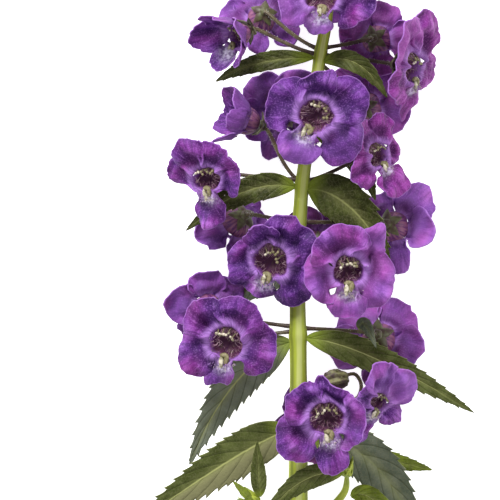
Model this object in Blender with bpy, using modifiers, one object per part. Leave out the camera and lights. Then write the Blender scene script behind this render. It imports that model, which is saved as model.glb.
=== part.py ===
"""Angelonia flower spike, cut from its plant and laid on a flat surface.

Metres, +Z up. The stem runs along +Y with its cut end at -Y, and the spike is seen from above.
Places across and along the spike are written as pixels of a 500 by 500 view from above, and
PIXEL is the real size of one of them. Heights above the surface and all other sizes are in
millimetres, which MM turns into metres.
"""
import math

import bmesh
import bpy
from mathutils import Matrix, Vector

SPIKE = "angelonia_flower_spike"
MM = 0.001
WELD = 0.01

# View
PIXEL = 0.00022
SPIKE_MIDDLE = (299.5, 201.5)

# Corolla: one fused cup that opens into five lobes
THROAT_RADIUS = 3.9
CUP_DEPTH = 4.8
LOBE_REACH = 11.8
NOTCH_REACHES = (5.6, 5.6, 8.4, 7.4, 8.4)
LOBE_ROUNDNESS = 0.45
LOBE_ARCH = 1.0
RUFFLE_HEIGHT = 0.45
RUFFLES_ROUND = 7
PETAL_THICKNESS = 0.65
LOBE_MIDDLES = (0.0, 67.0, 141.5, 218.5, 293.0)
LOBE_HALF_WIDTHS = (31.0, 36.0, 38.5, 38.5, 36.0)
LOBES = len(LOBE_MIDDLES)
FRONT_COLUMNS = 5
BACK_COLUMNS = 4
RIM_RING = 2
EDGE_RING = 4

# Calyx: a flat star of five sepals behind the cup
SEPAL_REACH = 3.9
SEPAL_NOTCH = 1.5
SEPAL_LIFT = 0.9
CALYX_THICKNESS = 0.7
CALYX_GAP = 0.45

# Flower stalks: they leave the stem over one share of their reach, more sideways than along it,
# and arrive behind the flower over another share, up to a length
STALK_RADIUS = 0.5
STALK_POINTS = 5
STALK_LEAVING_SHARE = 0.45
STALK_LEAVING_CLIMB = 0.5
STALK_ARRIVAL_SHARE = 0.3
STALK_ARRIVAL = 2.5
STALK_ROUNDNESS = 1

# Leaves: lance-shaped, with a narrow foot that stands just off the stem
LEAF_THICKNESS = 0.6
LEAF_ROWS = 12
LEAF_GAP = 0.65
LEAF_SKEW = 0.75
LEAF_FULLNESS = 0.85
LEAF_FOOT = 0.14
MIDRIB_STEP = 0.02
TOOTH_DEPTH = 0.1
TOOTH_SWEEP = 0.25

# Stem axis from the cut end to the tip: pixel, height and radius
STEM_LINE = (
    (300, 600, 1.3, 2.2),
    (300, 578, 1.3, 2.2),
    (299, 560, 2.9, 2.15),
    (298, 500, 9.0, 2.1),
    (299, 430, 13.6, 1.9),
    (298, 335, 15.2, 1.75),
    (297, 258, 15.4, 1.55),
    (302, 184, 15.4, 1.45),
    (311, 120, 15.4, 1.35),
    (320, 55, 15.2, 1.3),
    (327, 20, 15.0, 1.25),
    (330, -40, 14.6, 1.1),
    (327, -100, 13.8, 0.95),
    (322, -150, 12.6, 0.8),
    (318, -196, 11.0, 0.55),
)
STEM_STEPS = 8
STEM_ROUNDNESS = 2
NODE_ROWS = (430, 335, 258, 184, 120, 55, -10, -75)
NODE_SWELLING = 0.14
NODE_LENGTH = 7.0

# Forms of a corolla: how far each lobe bends forward at its root and curls on to its edge, in
# degrees, and its share of the full reach, for the lower lobe, the right side, the right top,
# the left top and the left side
OPEN = ((4, -14, 0.98), (10, -20, 1.0), (16, -30, 0.96), (16, -30, 0.96), (10, -20, 1.0))
FLAT = ((4, -4, 0.98), (6, -6, 1.0), (8, -8, 0.96), (8, -8, 0.96), (6, -6, 1.0))
SHORT_LIP = ((-22, -40, 0.9), (4, -20, 1.04), (14, -30, 1.0), (14, -30, 1.0), (4, -20, 1.04))
CUPPED = ((28, 12, 0.95), (34, 14, 1.0), (42, 10, 0.95), (42, 10, 0.95), (34, 14, 1.0))
HOODED = ((-8, -16, 1.0), (14, -40, 0.9), (30, -40, 0.94), (30, -44, 0.94), (0, -24, 0.96))
UPPER_FRONT = ((-6, -8, 0.94), (-2, -14, 1.08), (4, -18, 0.98), (28, -10, 0.94), (2, -16, 1.02))
LOWER_LEFT = ((-20, -30, 0.86), (0, -22, 1.04), (8, -26, 0.97), (24, -20, 0.93), (6, -20, 0.9))
LOWER_RIGHT = ((-4, -16, 1.0), (4, -20, 0.93), (6, -16, 0.98), (20, -36, 0.9), (4, -20, 0.92))
LOW_LEFT = ((-10, -30, 0.95), (2, -18, 1.04), (12, -26, 0.9), (8, -26, 0.97), (4, -20, 0.95))
BASE_FRONT = ((-4, -12, 1.08), (34, -10, 1.02), (10, -10, 0.95), (6, -22, 0.95), (0, -14, 1.02))

# Blooms: name, pixel and height of the throat, facing, direction of the lower lobe in the view,
# size, form, and the stem row its stalk grows from
BLOOMS = (
    ("bloom_top_front", (321, -4), 25.0, (0.0, 0.2, 0.98), -90, 1.0, SHORT_LIP, 8),
    ("bloom_top_left", (234, 36), 19.0, (-0.7, -0.3, 0.65), -125, 0.85, CUPPED, 55),
    ("bloom_top_left_back", (262, 18), 7.5, (-0.1, -0.3, -0.95), -100, 0.8, FLAT, 50),
    ("bloom_top_right", (416, 68), 17.5, (0.85, -0.15, 0.5), -70, 0.95, OPEN, 55),
    ("bloom_top_right_far", (378, 38), 9.0, (0.2, 0.0, -0.98), -70, 0.8, FLAT, 48),
    ("bloom_top_right_back", (368, 104), 4.0, (0.2, 0.1, -0.97), -90, 0.85, FLAT, 64),
    ("bloom_upper_front", (315, 117), 26.0, (0.0, -0.05, 1.0), -120, 1.03, UPPER_FRONT, 130),
    ("bloom_upper_left_back", (280, 112), 5.6, (-0.2, 0.1, -0.97), -90, 0.9, FLAT, 122),
    ("bloom_upper_left", (243, 119), 16.0, (-0.9, 0.35, 0.2), -95, 0.78, CUPPED, 184),
    ("bloom_middle_left", (205, 177), 21.0, (-0.4, -0.15, 0.9), -85, 0.95, HOODED, 180),
    ("bloom_middle_right", (380, 154), 17.5, (0.7, 0.1, 0.7), -55, 0.8, OPEN, 182),
    ("bloom_middle_left_back", (234, 224), 6.0, (-0.45, -0.35, -0.82), -150, 0.9, FLAT, 222),
    ("bloom_middle_right_back", (397, 226), 4.8, (0.4, -0.1, -0.9), -80, 0.9, FLAT, 222),
    ("bloom_lower_front_left", (270, 262), 22.5, (-0.15, -0.15, 0.97), -105, 1.03, LOWER_LEFT, 262),
    ("bloom_lower_front_right", (348, 270), 26.0, (0.12, -0.1, 0.98), -90, 1.05, LOWER_RIGHT, 258),
    ("bloom_lower_back", (318, 244), 8.4, (0.0, 0.1, -0.99), -90, 0.84, FLAT, 262),
    ("bloom_low_left", (225, 342), 21.0, (-0.25, -0.05, 0.97), -95, 1.05, LOW_LEFT, 331),
    ("bloom_low_left_back", (206, 306), 7.6, (-0.25, 0.25, -0.93), -120, 0.8, FLAT, 327),
    ("bloom_low_right_back", (380, 340), 5.6, (0.1, -0.2, -0.97), -90, 0.98, FLAT, 328),
    ("bloom_base_front", (326, 418), 24.5, (0.0, -0.15, 0.99), -82, 1.03, BASE_FRONT, 430),
    ("bloom_base_right", (381, 401), 18.0, (0.6, -0.3, 0.74), -118, 0.78, OPEN, 428),
    ("bloom_base_back", (318, 424), 4.4, (0.0, 0.0, -1.0), -90, 0.85, FLAT, 432),
    ("bloom_crown_back", (339, -26), 5.4, (0.0, 0.0, -1.0), -90, 0.84, FLAT, -8),
    ("bloom_crown_left", (274, -64), 15.5, (-0.65, 0.2, 0.7), -110, 0.85, OPEN, -66),
    ("bloom_crown_right", (368, -56), 14.0, (0.75, 0.1, 0.6), -75, 0.85, OPEN, -70),
    ("bloom_crown_under", (314, -98), 5.0, (-0.1, 0.2, -0.98), -90, 0.78, CUPPED, -90),
    ("bloom_crown_front", (322, -106), 23.0, (0.0, 0.25, 0.97), -90, 0.75, CUPPED, -95),
)

# Leaves on the stem: name, stem row of the root, pixels and heights of the bend and the tip,
# half width, fold of the two halves in degrees (up is positive), and roll about the midrib
STEM_LEAVES = (
    ("leaf_top_left", 58, ((272, 57, 16.5), (240, 66, 14.5), (216, 81, 10.0)), 2.3, 20, 10),
    ("leaf_top_right", 62, ((348, 52, 18.0), (370, 68, 19.0), (387, 98, 17.0)), 2.4, 25, 0),
    ("leaf_upper_right", 132, ((345, 140, 12.0), (366, 165, 10.5), (376, 200, 9.0)), 3.0, 10, 0),
    ("leaf_middle_left", 187, ((266, 180, 17.0), (226, 192, 16.5), (186, 231, 13.0)), 3.2, 15, 0),
    ("leaf_middle_right", 189, ((336, 188, 18.0), (366, 216, 16.5), (390, 262, 14.0)), 5.2, 14, 0),
    ("leaf_lower_left", 262, ((268, 286, 7.0), (240, 284, 4.0), (229, 308, 1.4)), 3.2, 10, 0),
    ("leaf_low_left", 342, ((258, 350, 11.5), (214, 398, 7.0), (189, 467, 3.0)), 4.8, 18, 0),
    ("leaf_low_right", 338, ((346, 340, 16.5), (408, 372, 12.5), (476, 414, 6.0)), 3.5, 16, 0),
    ("leaf_base_left", 430, ((262, 438, 11.5), (205, 476, 6.0), (124, 534, 0.0)), 5.0, 12, 0),
    ("leaf_base_right", 438, ((362, 436, 11.0), (402, 482, 6.5), (424, 560, 0.0)), 5.4, 14, 0),
    ("leaf_base_tip", 446, ((352, 456, 7.0), (400, 463, 4.5), (434, 472, 2.0)), 2.7, 8, 0),
    ("leaf_foot_left", 556, ((262, 562, 4.5), (214, 575, 3.0), (176, 600, 0.0)), 3.4, 12, 0),
    ("leaf_foot_right", 562, ((338, 572, 4.5), (356, 584, 3.0), (384, 606, 0.0)), 3.0, 12, 0),
    ("leaf_crown_left", -82, ((300, -82, 12.0), (288, -84, 9.0), (270, -70, 6.0)), 1.8, 15, 0),
    ("leaf_crown_right", -78, ((356, -90, 12.0), (372, -96, 9.0), (390, -88, 5.0)), 1.8, 15, 0),
)

# Leaves on the side shoots and a bract on a flower stalk, with the root given like the rest
SHOOT_LEAVES = (
    ("leaf_shoot_right_arched",
     ((342, 474, 14.0), (318, 468, 17.5), (290, 482, 16.0), (262, 520, 10.0)), 2.7, 14, 0),
    ("leaf_shoot_right_outer",
     ((352, 497, 11.5), (366, 487, 14.0), (388, 508, 13.0), (402, 545, 9.0)), 2.6, 16, 0),
    ("leaf_shoot_left_upright", ((260, 497, 11.2), (258, 476, 13.0), (257, 441, 14.5)), 1.9, 20, 0),
    ("leaf_shoot_left_small", ((253, 503, 10.8), (244, 492, 12.0), (233, 482, 12.0)), 0.9, 10, 0),
    ("leaf_shoot_left_outer", ((257, 513, 9.2), (240, 508, 8.5), (212, 520, 5.0)), 2.6, 12, 0),
    ("leaf_bract", ((360, 329, 14.2), (363, 312, 18.2), (376, 348, 18.6)), 1.5, 15, 0),
)

# Side shoots in the leaf axils: pixels and heights along each, and its radius
SHOOTS = (
    (((300, 548, 5.0), (322, 520, 9.0), (344, 494, 11.0), (347, 476, 12.4)), 1.0),
    (((299, 548, 5.0), (283, 526, 8.5), (266, 508, 10.0), (259, 503, 10.2)), 0.9),
)

# Buds at the crown: pixel and height of the middle, direction of the tip, length and stem row
BUDS = (
    ("bud_01", (296, -138), 15.0, (-0.6, 0.6, 0.3), 6.0, -120),
    ("bud_02", (348, -134), 13.0, (0.7, 0.6, 0.1), 6.0, -120),
    ("bud_03", (318, -148), 19.0, (-0.1, 0.7, 0.7), 5.6, -130),
    ("bud_04", (326, -146), 7.0, (0.1, 0.7, -0.6), 5.6, -130),
    ("bud_05", (302, -168), 11.0, (-0.6, 0.7, 0.1), 4.6, -152),
    ("bud_06", (338, -166), 12.5, (0.6, 0.7, 0.2), 4.6, -152),
)
BUD_WIDTH = 0.55
BUD_TURN = -80

# Withered flower on its hooked stalk
POD_ROW = 430
POD_STALK = (
    (325, 416, 12.8),
    (352, 403, 12.0),
    (360, 394, 12.0),
    (361, 383, 12.5),
    (354, 374, 13.0),
    (340, 378, 13.8),
)
POD_MIDDLE = (336, 380, 14.0)
POD_SIZE = (2.7, 2.1, 2.0)

# Tight green buds at the tip
TIP_BUDS = 7
TIP_BUD_SPACING = 3.6
TIP_BUD_REACH = 1.6
TIP_BUD_LEAN = 0.4
TIP_BUD_SIZE = (1.0, 1.7, 1.0)
GOLDEN_ANGLE = math.radians(137.5)

# Colours and roughness
VIOLET = (0.10, 0.03, 0.24)
LEAF_GREEN = (0.05, 0.085, 0.02)
STEM_GREEN = (0.28, 0.36, 0.06)
PETAL_ROUGHNESS = 0.7
LEAF_ROUGHNESS = 0.5
STEM_ROUGHNESS = 0.55


def from_view(px, py, height):
    """Point of the model over a pixel of the view, at a height in millimetres."""
    return Vector(((px - SPIKE_MIDDLE[0]) * PIXEL, (SPIKE_MIDDLE[1] - py) * PIXEL, height * MM))


def clear_scene():
    for old in list(bpy.data.objects):
        bpy.data.objects.remove(old)


def new_collection(name):
    made = bpy.data.collections.new(name)
    bpy.context.scene.collection.children.link(made)
    return made


def material(name, colour, roughness):
    made = bpy.data.materials.new(name)
    made.use_nodes = True
    shader = made.node_tree.nodes["Principled BSDF"]
    shader.inputs["Base Color"].default_value = (*colour, 1.0)
    shader.inputs["Roughness"].default_value = roughness
    return made


def new_object(name, mesh, collection):
    made = bpy.data.objects.new(name, mesh)
    collection.objects.link(made)
    return made


def sheet(name, columns, rows, point, collection):
    """Grid whose vertices go where point(column, row) says, its seam and poles welded shut."""
    grid = bmesh.new()
    bmesh.ops.create_grid(grid, x_segments=columns, y_segments=rows, size=1.0)
    for vertex in grid.verts:
        column = round((vertex.co.x + 1) / 2 * columns)
        row = round((vertex.co.y + 1) / 2 * rows)
        vertex.co = point(column, row)
    bmesh.ops.remove_doubles(grid, verts=grid.verts, dist=WELD * MM)
    bmesh.ops.triangulate(grid, faces=grid.faces)
    mesh = bpy.data.meshes.new(name)
    grid.to_mesh(mesh)
    grid.free()
    mesh.shade_smooth()
    return new_object(name, mesh, collection)


def thicken(piece, thickness):
    solid = piece.modifiers.new("thickness", "SOLIDIFY")
    solid.thickness = thickness * MM
    solid.offset = 0.0


def lie_on_surface(piece, thickness):
    """Lifts the vertices that would sink below the surface, so the sheet lies flat there."""
    lowest = thickness * MM / 2
    back = piece.matrix_world.inverted()
    for vertex in piece.data.vertices:
        place = piece.matrix_world @ vertex.co
        if place.z < lowest:
            place.z = lowest
            vertex.co = back @ place


def flower_frame(centre, facing, down_angle):
    """Matrix whose +Z looks out of the flower and whose -Y points to the lower lobe."""
    out = Vector(facing).normalized()
    turn = math.radians(down_angle)
    down = Vector((math.cos(turn), math.sin(turn), 0.0))
    down = (down - out * down.dot(out)).normalized()
    right = out.cross(down)
    turned = Matrix((right, -down, out)).transposed().to_4x4()
    return Matrix.Translation(centre) @ turned


def lobe_at(place, form):
    """Angle round the throat, place across the lobe, its bend and curl, and its full reach."""
    lobe = int(place) % LOBES
    across = 2 * (place % 1) - 1
    angle = math.radians(LOBE_MIDDLES[lobe] + across * LOBE_HALF_WIDTHS[lobe])
    bend, curl, share = form[lobe]
    if across == -1:
        bend = (bend + form[lobe - 1][0]) / 2
        curl = (curl + form[lobe - 1][1]) / 2
    swell = math.cos(across * math.pi / 2) ** LOBE_ROUNDNESS if across > -1 else 0.0
    this_notch, next_notch = NOTCH_REACHES[lobe], NOTCH_REACHES[(lobe + 1) % LOBES]
    notch = this_notch + (next_notch - this_notch) * (place % 1)
    reach = notch + (LOBE_REACH * share - notch) * swell
    return angle, across, math.radians(bend), math.radians(curl), reach


def corolla_point(place, ring, form, size):
    """Point of the corolla: place counts the lobes round the throat from the lower lobe's edge."""
    angle, across, bend, curl, full = lobe_at(place, form)
    if ring <= RIM_RING:
        climb = ring / RIM_RING * math.pi / 2
        reach = THROAT_RADIUS * math.sin(climb)
        height = -CUP_DEPTH * math.cos(climb)
    else:
        share = (ring - RIM_RING) / (EDGE_RING - RIM_RING)
        length = full - THROAT_RADIUS
        slope = bend + curl * share / 2
        reach = THROAT_RADIUS + length * share * math.cos(slope)
        height = length * share * math.sin(slope) - LOBE_ARCH * share * across ** 2
        height += RUFFLE_HEIGHT * share ** 2 * math.sin(RUFFLES_ROUND * angle)
    scale = size * MM
    return Vector((reach * math.sin(angle), -reach * math.cos(angle), height)) * scale


def make_bloom(name, pixel, height, facing, down_angle, size, form, collection):
    columns = FRONT_COLUMNS if facing[2] > 0 else BACK_COLUMNS

    def point(column, ring):
        return corolla_point(column / columns, ring, form, size)

    bloom = sheet(name, LOBES * columns, EDGE_RING, point, collection)
    bloom.matrix_world = flower_frame(from_view(*pixel, height), facing, down_angle)
    lie_on_surface(bloom, PETAL_THICKNESS)
    thicken(bloom, PETAL_THICKNESS)
    bloom.data.materials.append(material(name + "_violet", VIOLET, PETAL_ROUGHNESS))


def calyx_depth(size):
    """How far behind the throat the middle of the calyx sits."""
    return CUP_DEPTH * size + (PETAL_THICKNESS + CALYX_THICKNESS) / 2 + CALYX_GAP


def make_calyx(name, frame, size, collection):
    """Star of five sepals that stand between the lobes, at the back of the cup."""
    def point(column, ring):
        reach = ring * (SEPAL_REACH if column % 2 else SEPAL_NOTCH)
        lift = ring * (SEPAL_LIFT if column % 2 else 0.0)
        angle = math.pi * column / LOBES
        return Vector((reach * math.sin(angle), -reach * math.cos(angle), lift)) * size * MM

    star = sheet(name, 2 * LOBES, 1, point, collection)
    star.matrix_world = frame @ Matrix.Translation((0, 0, -calyx_depth(size) * MM))
    thicken(star, CALYX_THICKNESS)
    return star


def tube(name, points, radii, resolution, collection):
    """Round rod along points, as a mesh with its caps welded on."""
    curve = bpy.data.curves.new(name, "CURVE")
    curve.dimensions = "3D"
    curve.bevel_depth = MM
    curve.bevel_resolution = resolution
    curve.use_fill_caps = True
    spline = curve.splines.new("POLY")
    spline.points.add(len(points) - 1)
    for knot, place, radius in zip(spline.points, points, radii):
        knot.co = (*place, 1.0)
        knot.radius = radius
    rod = new_object(name, curve, collection)
    seen = rod.evaluated_get(bpy.context.evaluated_depsgraph_get())
    mesh = bpy.data.meshes.new_from_object(seen)
    bpy.data.objects.remove(rod)
    ends = bmesh.new()
    ends.from_mesh(mesh)
    bmesh.ops.remove_doubles(ends, verts=ends.verts, dist=WELD * MM)
    ends.to_mesh(mesh)
    ends.free()
    mesh.shade_smooth()
    return new_object(name, mesh, collection)


def stem_at(row):
    """Point of the stem's axis and its radius at a pixel row of the view."""
    for (x0, y0, z0, r0), (x1, y1, z1, r1) in zip(STEM_LINE, STEM_LINE[1:]):
        if y1 <= row <= y0:
            share = (y0 - row) / (y0 - y1)
            radius = r0 + (r1 - r0) * share
            break
    place = from_view(x0 + (x1 - x0) * share, row, z0 + (z1 - z0) * share)
    swell = sum(math.exp(-((row - node) / NODE_LENGTH) ** 2) for node in NODE_ROWS)
    return place, radius * (1 + NODE_SWELLING * swell)


def make_stem(collection):
    """Main axis from the cut end to the tip, flat where its cut end lies on the surface."""
    bottom = STEM_LINE[0][1]
    top = STEM_LINE[-1][1]
    rows = {bottom + (top - bottom) * step / STEM_STEPS for step in range(STEM_STEPS + 1)}
    rows |= {line[1] for line in STEM_LINE} | set(NODE_ROWS)
    stations = [stem_at(row) for row in sorted(rows, reverse=True)]
    axis = [place for place, _radius in stations]
    radii = [radius for _place, radius in stations]
    stem = tube("stem", axis, radii, STEM_ROUNDNESS, collection)
    for vertex in stem.data.vertices:
        vertex.co.z = max(vertex.co.z, 0.0)
    return stem


def bezier(corners, share):
    """Point on the curve that a row of control points draws."""
    while len(corners) > 1:
        corners = [a.lerp(b, share) for a, b in zip(corners, corners[1:])]
    return corners[0]


def stalk_points(root, tip, facing):
    """Leaves the stem outward and upward, and arrives behind the flower along its axis."""
    reach = tip - root
    outward = Vector((reach.x, reach.y * STALK_LEAVING_CLIMB, reach.z))
    leave = root + outward.normalized() * reach.length * STALK_LEAVING_SHARE
    arrive = tip - facing * min(reach.length * STALK_ARRIVAL_SHARE, STALK_ARRIVAL * MM)
    last = STALK_POINTS - 1
    return [bezier([root, leave, arrive, tip], step / last) for step in range(STALK_POINTS)]


def make_stalk(name, row, tip, facing, collection):
    root = stem_at(row)[0]
    points = stalk_points(root, tip, facing)
    return tube(name, points, [STALK_RADIUS] * STALK_POINTS, STALK_ROUNDNESS, collection)


def make_flower_stalks(collection):
    """Stalk and calyx of each bloom, and the stalk of each bud."""
    for name, pixel, height, facing, down_angle, size, _form, row in BLOOMS:
        frame = flower_frame(from_view(*pixel, height), facing, down_angle)
        make_calyx(name + "_calyx", frame, size, collection)
        out = Vector(facing).normalized()
        tip = frame.translation - out * calyx_depth(size) * MM
        make_stalk(name + "_stalk", row, tip, out, collection)
    for name, pixel, height, facing, length, row in BUDS:
        out = Vector(facing).normalized()
        tip = from_view(*pixel, height) - out * (length / 2 + CALYX_GAP) * MM
        make_stalk(name + "_stalk", row, tip, out, collection)


def ball(name, middle, size, collection):
    """Rounded lump of a few faces, its size given as three half widths in millimetres."""
    lump = bmesh.new()
    bmesh.ops.create_icosphere(lump, subdivisions=1, radius=MM)
    mesh = bpy.data.meshes.new(name)
    lump.to_mesh(mesh)
    lump.free()
    mesh.transform(Matrix.Diagonal((*size, 1.0)))
    made = new_object(name, mesh, collection)
    made.location = middle
    return made


def make_green_parts(collection):
    """Side shoots, the withered flower on its hook, and the tight green buds at the very tip."""
    for number, (places, radius) in enumerate(SHOOTS):
        points = [from_view(*place) for place in places]
        tube(f"shoot_{number}", points, [radius] * len(points), STALK_ROUNDNESS, collection)
    hook = [stem_at(POD_ROW)[0]] + [from_view(*place) for place in POD_STALK]
    tube("pod_stalk", hook, [STALK_RADIUS] * len(hook), STALK_ROUNDNESS, collection)
    ball("pod", from_view(*POD_MIDDLE), POD_SIZE, collection)
    tip_row = STEM_LINE[-1][1]
    for number in range(TIP_BUDS):
        turn = number * GOLDEN_ANGLE
        place = stem_at(tip_row + number * TIP_BUD_SPACING)[0]
        out = TIP_BUD_REACH * number / TIP_BUDS
        place += Vector((math.cos(turn), TIP_BUD_LEAN, math.sin(turn))) * out * MM
        ball(f"tip_bud_{number}", place, TIP_BUD_SIZE, collection)


def join_to(base, others):
    """One body of the base and all that the collection holds, which is then removed."""
    union = base.modifiers.new("join", "BOOLEAN")
    union.operation = "UNION"
    union.operand_type = "COLLECTION"
    union.collection = others
    union.solver = "EXACT"
    union.use_self = True
    bpy.context.view_layer.update()
    seen = base.evaluated_get(bpy.context.evaluated_depsgraph_get())
    joined = bpy.data.meshes.new_from_object(seen)
    base.modifiers.remove(union)
    base.data = joined
    for part in list(others.objects):
        bpy.data.objects.remove(part)
    bpy.data.collections.remove(others)


def leaf_width(along):
    """Lance shape with a narrow foot: widest a third of the way along."""
    body = math.sin(math.pi * along ** LEAF_SKEW) ** LEAF_FULLNESS if along < 1 else 0.0
    foot = LEAF_FOOT * (1 - along)
    return max(body, foot)


def stem_leaf_corners(row, places):
    """Root just off the stem's side, facing the bend, then the bend and the tip."""
    axis, radius = stem_at(row)
    corners = [from_view(*place) for place in places]
    outward = corners[0] - axis
    outward.y = 0.0
    return [axis + outward.normalized() * (radius + LEAF_GAP) * MM] + corners


def make_leaf(name, corners, half_width, fold, roll, collection):
    """Lance-shaped blade, toothed along both edges and folded along its midrib."""
    fold = math.radians(fold)
    roll = math.radians(roll)
    spacing = (corners[-1] - corners[0]).length / LEAF_ROWS

    def point(column, row):
        along = row / LEAF_ROWS
        middle = bezier(corners, along)
        before = bezier(corners, max(along - MIDRIB_STEP, 0))
        ahead = (bezier(corners, min(along + MIDRIB_STEP, 1)) - before).normalized()
        side = ahead.cross(Vector((0, 0, 1))).normalized()
        side.rotate(Matrix.Rotation(roll, 3, ahead))
        up = side.cross(ahead)
        tooth = 1 if row % 2 and row < LEAF_ROWS - 1 else -1
        width = half_width * leaf_width(along) * (1 + TOOTH_DEPTH * tooth)
        across = column - 1
        sweep = TOOTH_SWEEP * spacing * abs(across) * tooth if 0 < row < LEAF_ROWS else 0.0
        reach = width * MM * math.cos(fold)
        rise = width * MM * math.sin(fold)
        return middle + side * across * reach + up * abs(across) * rise + ahead * sweep

    leaf = sheet(name, 2, LEAF_ROWS, point, collection)
    lie_on_surface(leaf, LEAF_THICKNESS)
    thicken(leaf, LEAF_THICKNESS)
    leaf.data.materials.append(material(name + "_green", LEAF_GREEN, LEAF_ROUGHNESS))


def make_bud(name, pixel, height, facing, length, collection):
    """Closed corolla: an egg that stands on its stalk."""
    half = length / 2
    bud = ball(name, (0, 0, 0), (half * BUD_WIDTH, half * BUD_WIDTH, half), collection)
    bud.data.shade_smooth()
    bud.matrix_world = flower_frame(from_view(*pixel, height), facing, BUD_TURN)
    bud.data.materials.append(material(name + "_violet", VIOLET, PETAL_ROUGHNESS))


def main():
    clear_scene()
    parts = new_collection(SPIKE)
    green_parts = new_collection("green_parts")
    stem = make_stem(parts)
    make_flower_stalks(green_parts)
    make_green_parts(green_parts)
    join_to(stem, green_parts)
    stem.data.materials.clear()
    stem.data.materials.append(material("stem_green", STEM_GREEN, STEM_ROUGHNESS))
    for *bloom, _row in BLOOMS:
        make_bloom(*bloom, parts)
    for name, row, places, *form in STEM_LEAVES:
        make_leaf(name, stem_leaf_corners(row, places), *form, parts)
    for name, places, *form in SHOOT_LEAVES:
        make_leaf(name, [from_view(*place) for place in places], *form, parts)
    for *bud, _row in BUDS:
        make_bud(*bud, parts)


main()
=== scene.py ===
"""Angelonia flower spike, cut and laid on a pale table, seen from straight above.

The pieces stand for the solids of the frame and lie where they lie: ruffled corollas with their
throats, calyxes, thin flower stalks, toothed and veined leaves, side shoots, buds and a grooved
stem. Places across and along the spike are pixels of a 500 by 500 view from above, and PIXEL is
the real size of one of them. Heights above the table and the sizes of the pieces are in
millimetres, which MM turns into metres. The stage is in metres.
"""

from collections import namedtuple
import math
import random

import bmesh
import bpy
from bpy.props import FloatProperty, FloatVectorProperty, IntProperty, PointerProperty
from mathutils import Matrix, Vector, noise


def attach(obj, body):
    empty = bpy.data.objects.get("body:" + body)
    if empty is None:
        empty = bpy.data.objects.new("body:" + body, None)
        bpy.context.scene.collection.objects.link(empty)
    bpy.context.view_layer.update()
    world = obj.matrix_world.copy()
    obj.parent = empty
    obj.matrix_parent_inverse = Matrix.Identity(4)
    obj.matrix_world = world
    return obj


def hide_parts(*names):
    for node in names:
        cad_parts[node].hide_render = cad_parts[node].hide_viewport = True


bl_info = {
    "name": "Angelonia flower spike",
    "version": (1, 0, 0),
    "blender": (4, 5, 0),
    "location": "View3D > Sidebar > Flower spike",
    "description": "Ruffled blooms, toothed leaves, buds and a grooved stem for a cut flower spike",
    "category": "Object",
}

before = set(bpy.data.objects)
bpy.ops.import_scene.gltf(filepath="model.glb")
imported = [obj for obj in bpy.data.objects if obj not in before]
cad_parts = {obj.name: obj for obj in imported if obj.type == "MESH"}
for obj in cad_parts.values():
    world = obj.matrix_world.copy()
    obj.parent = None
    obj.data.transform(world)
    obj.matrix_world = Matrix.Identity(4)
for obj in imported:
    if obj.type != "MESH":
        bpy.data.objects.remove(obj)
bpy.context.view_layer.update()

MM = 0.001
BODY = "root"
UV_MAP = "UVMap"

# Corners that are closer than this are one, in millimetres
WELD = 0.002

# View from above: size of a pixel in metres, the pixel over the origin, and the middle and width
# of the view
PIXEL = 0.00022
SPIKE_MIDDLE = (299.5, 201.5)
VIEW_MIDDLE = (250.0, 250.0)
VIEW_PIXELS = 500

# Corolla: angles of the five lobes round the throat from the lower lobe and half of each one's
# width, in degrees, and the reach of the notches between them
LOBE_MIDDLES = (0.0, 67.0, 141.5, 218.5, 293.0)
LOBE_HALF_WIDTHS = (31.0, 36.0, 38.5, 38.5, 36.0)
NOTCH_REACHES = (4.7, 4.7, 7.8, 6.8, 7.8)
LOBES = len(LOBE_MIDDLES)
LOWER_LOBE = 0

# Forms of a corolla, with a row for the lower lobe, the right side, the right top, the left top
# and the left side: how far the lobe swings round from its place in degrees, its share of the
# full width and reach, its bend forward at the root and curl on to the edge in degrees, its lean
# to one side and the height of the crease along its middle in millimetres, and the length of its
# point in millimetres with the point's place from -1 to 1 across the lobe
OPEN = (
    (0, 1.0, 0.98, 2, -16, 0.0, 0.3, 0.3, 0.3),
    (0, 1.0, 1.0, 8, -24, 0.5, 0.0, 0.0, 0.0),
    (0, 1.0, 0.94, 18, -36, -0.4, 0.0, 0.3, 0.4),
    (0, 1.0, 0.94, 18, -36, 0.4, 0.3, 0.0, 0.0),
    (0, 1.0, 1.0, 8, -24, -0.5, 0.0, 0.3, -0.4),
)
FLAT = (
    (0, 1.0, 0.98, 4, -8, 0.3, 0.0, 0.3, 0.4),
    (0, 1.0, 1.0, 6, -12, 0.5, 0.3, 0.6, 0.3),
    (0, 0.95, 0.96, 10, -14, -0.5, 0.4, 0.0, 0.0),
    (0, 1.0, 0.96, 10, -14, 0.5, 0.0, 0.7, -0.3),
    (0, 1.0, 1.0, 6, -12, -0.5, 0.3, 0.0, 0.0),
)
CUPPED = (
    (0, 1.0, 0.95, 32, 34, 0.3, 0.3, 0.6, 0.3),
    (0, 1.0, 1.0, 38, 40, 0.5, 0.5, 0.0, 0.0),
    (0, 1.0, 0.95, 44, 20, -0.5, 0.0, 0.6, 0.2),
    (0, 1.0, 0.95, 44, 16, 0.5, 0.5, 0.0, 0.0),
    (0, 1.0, 1.0, 36, 34, -0.5, 0.3, 0.6, -0.2),
)
SHORT_LIP = (
    (-2, 1.0, 0.82, -14, -34, 0.3, 0.3, 0.4, 0.5),
    (4, 1.1, 1.04, 4, -20, 0.5, 0.0, 0.0, 0.0),
    (0, 1.0, 1.0, 14, -30, 0.0, 0.0, 0.0, 0.0),
    (0, 1.0, 1.0, 14, -30, 0.0, 0.0, 0.0, 0.0),
    (4, 1.1, 0.9, 4, -20, -0.5, 0.3, 0.5, 0.3),
)
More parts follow.
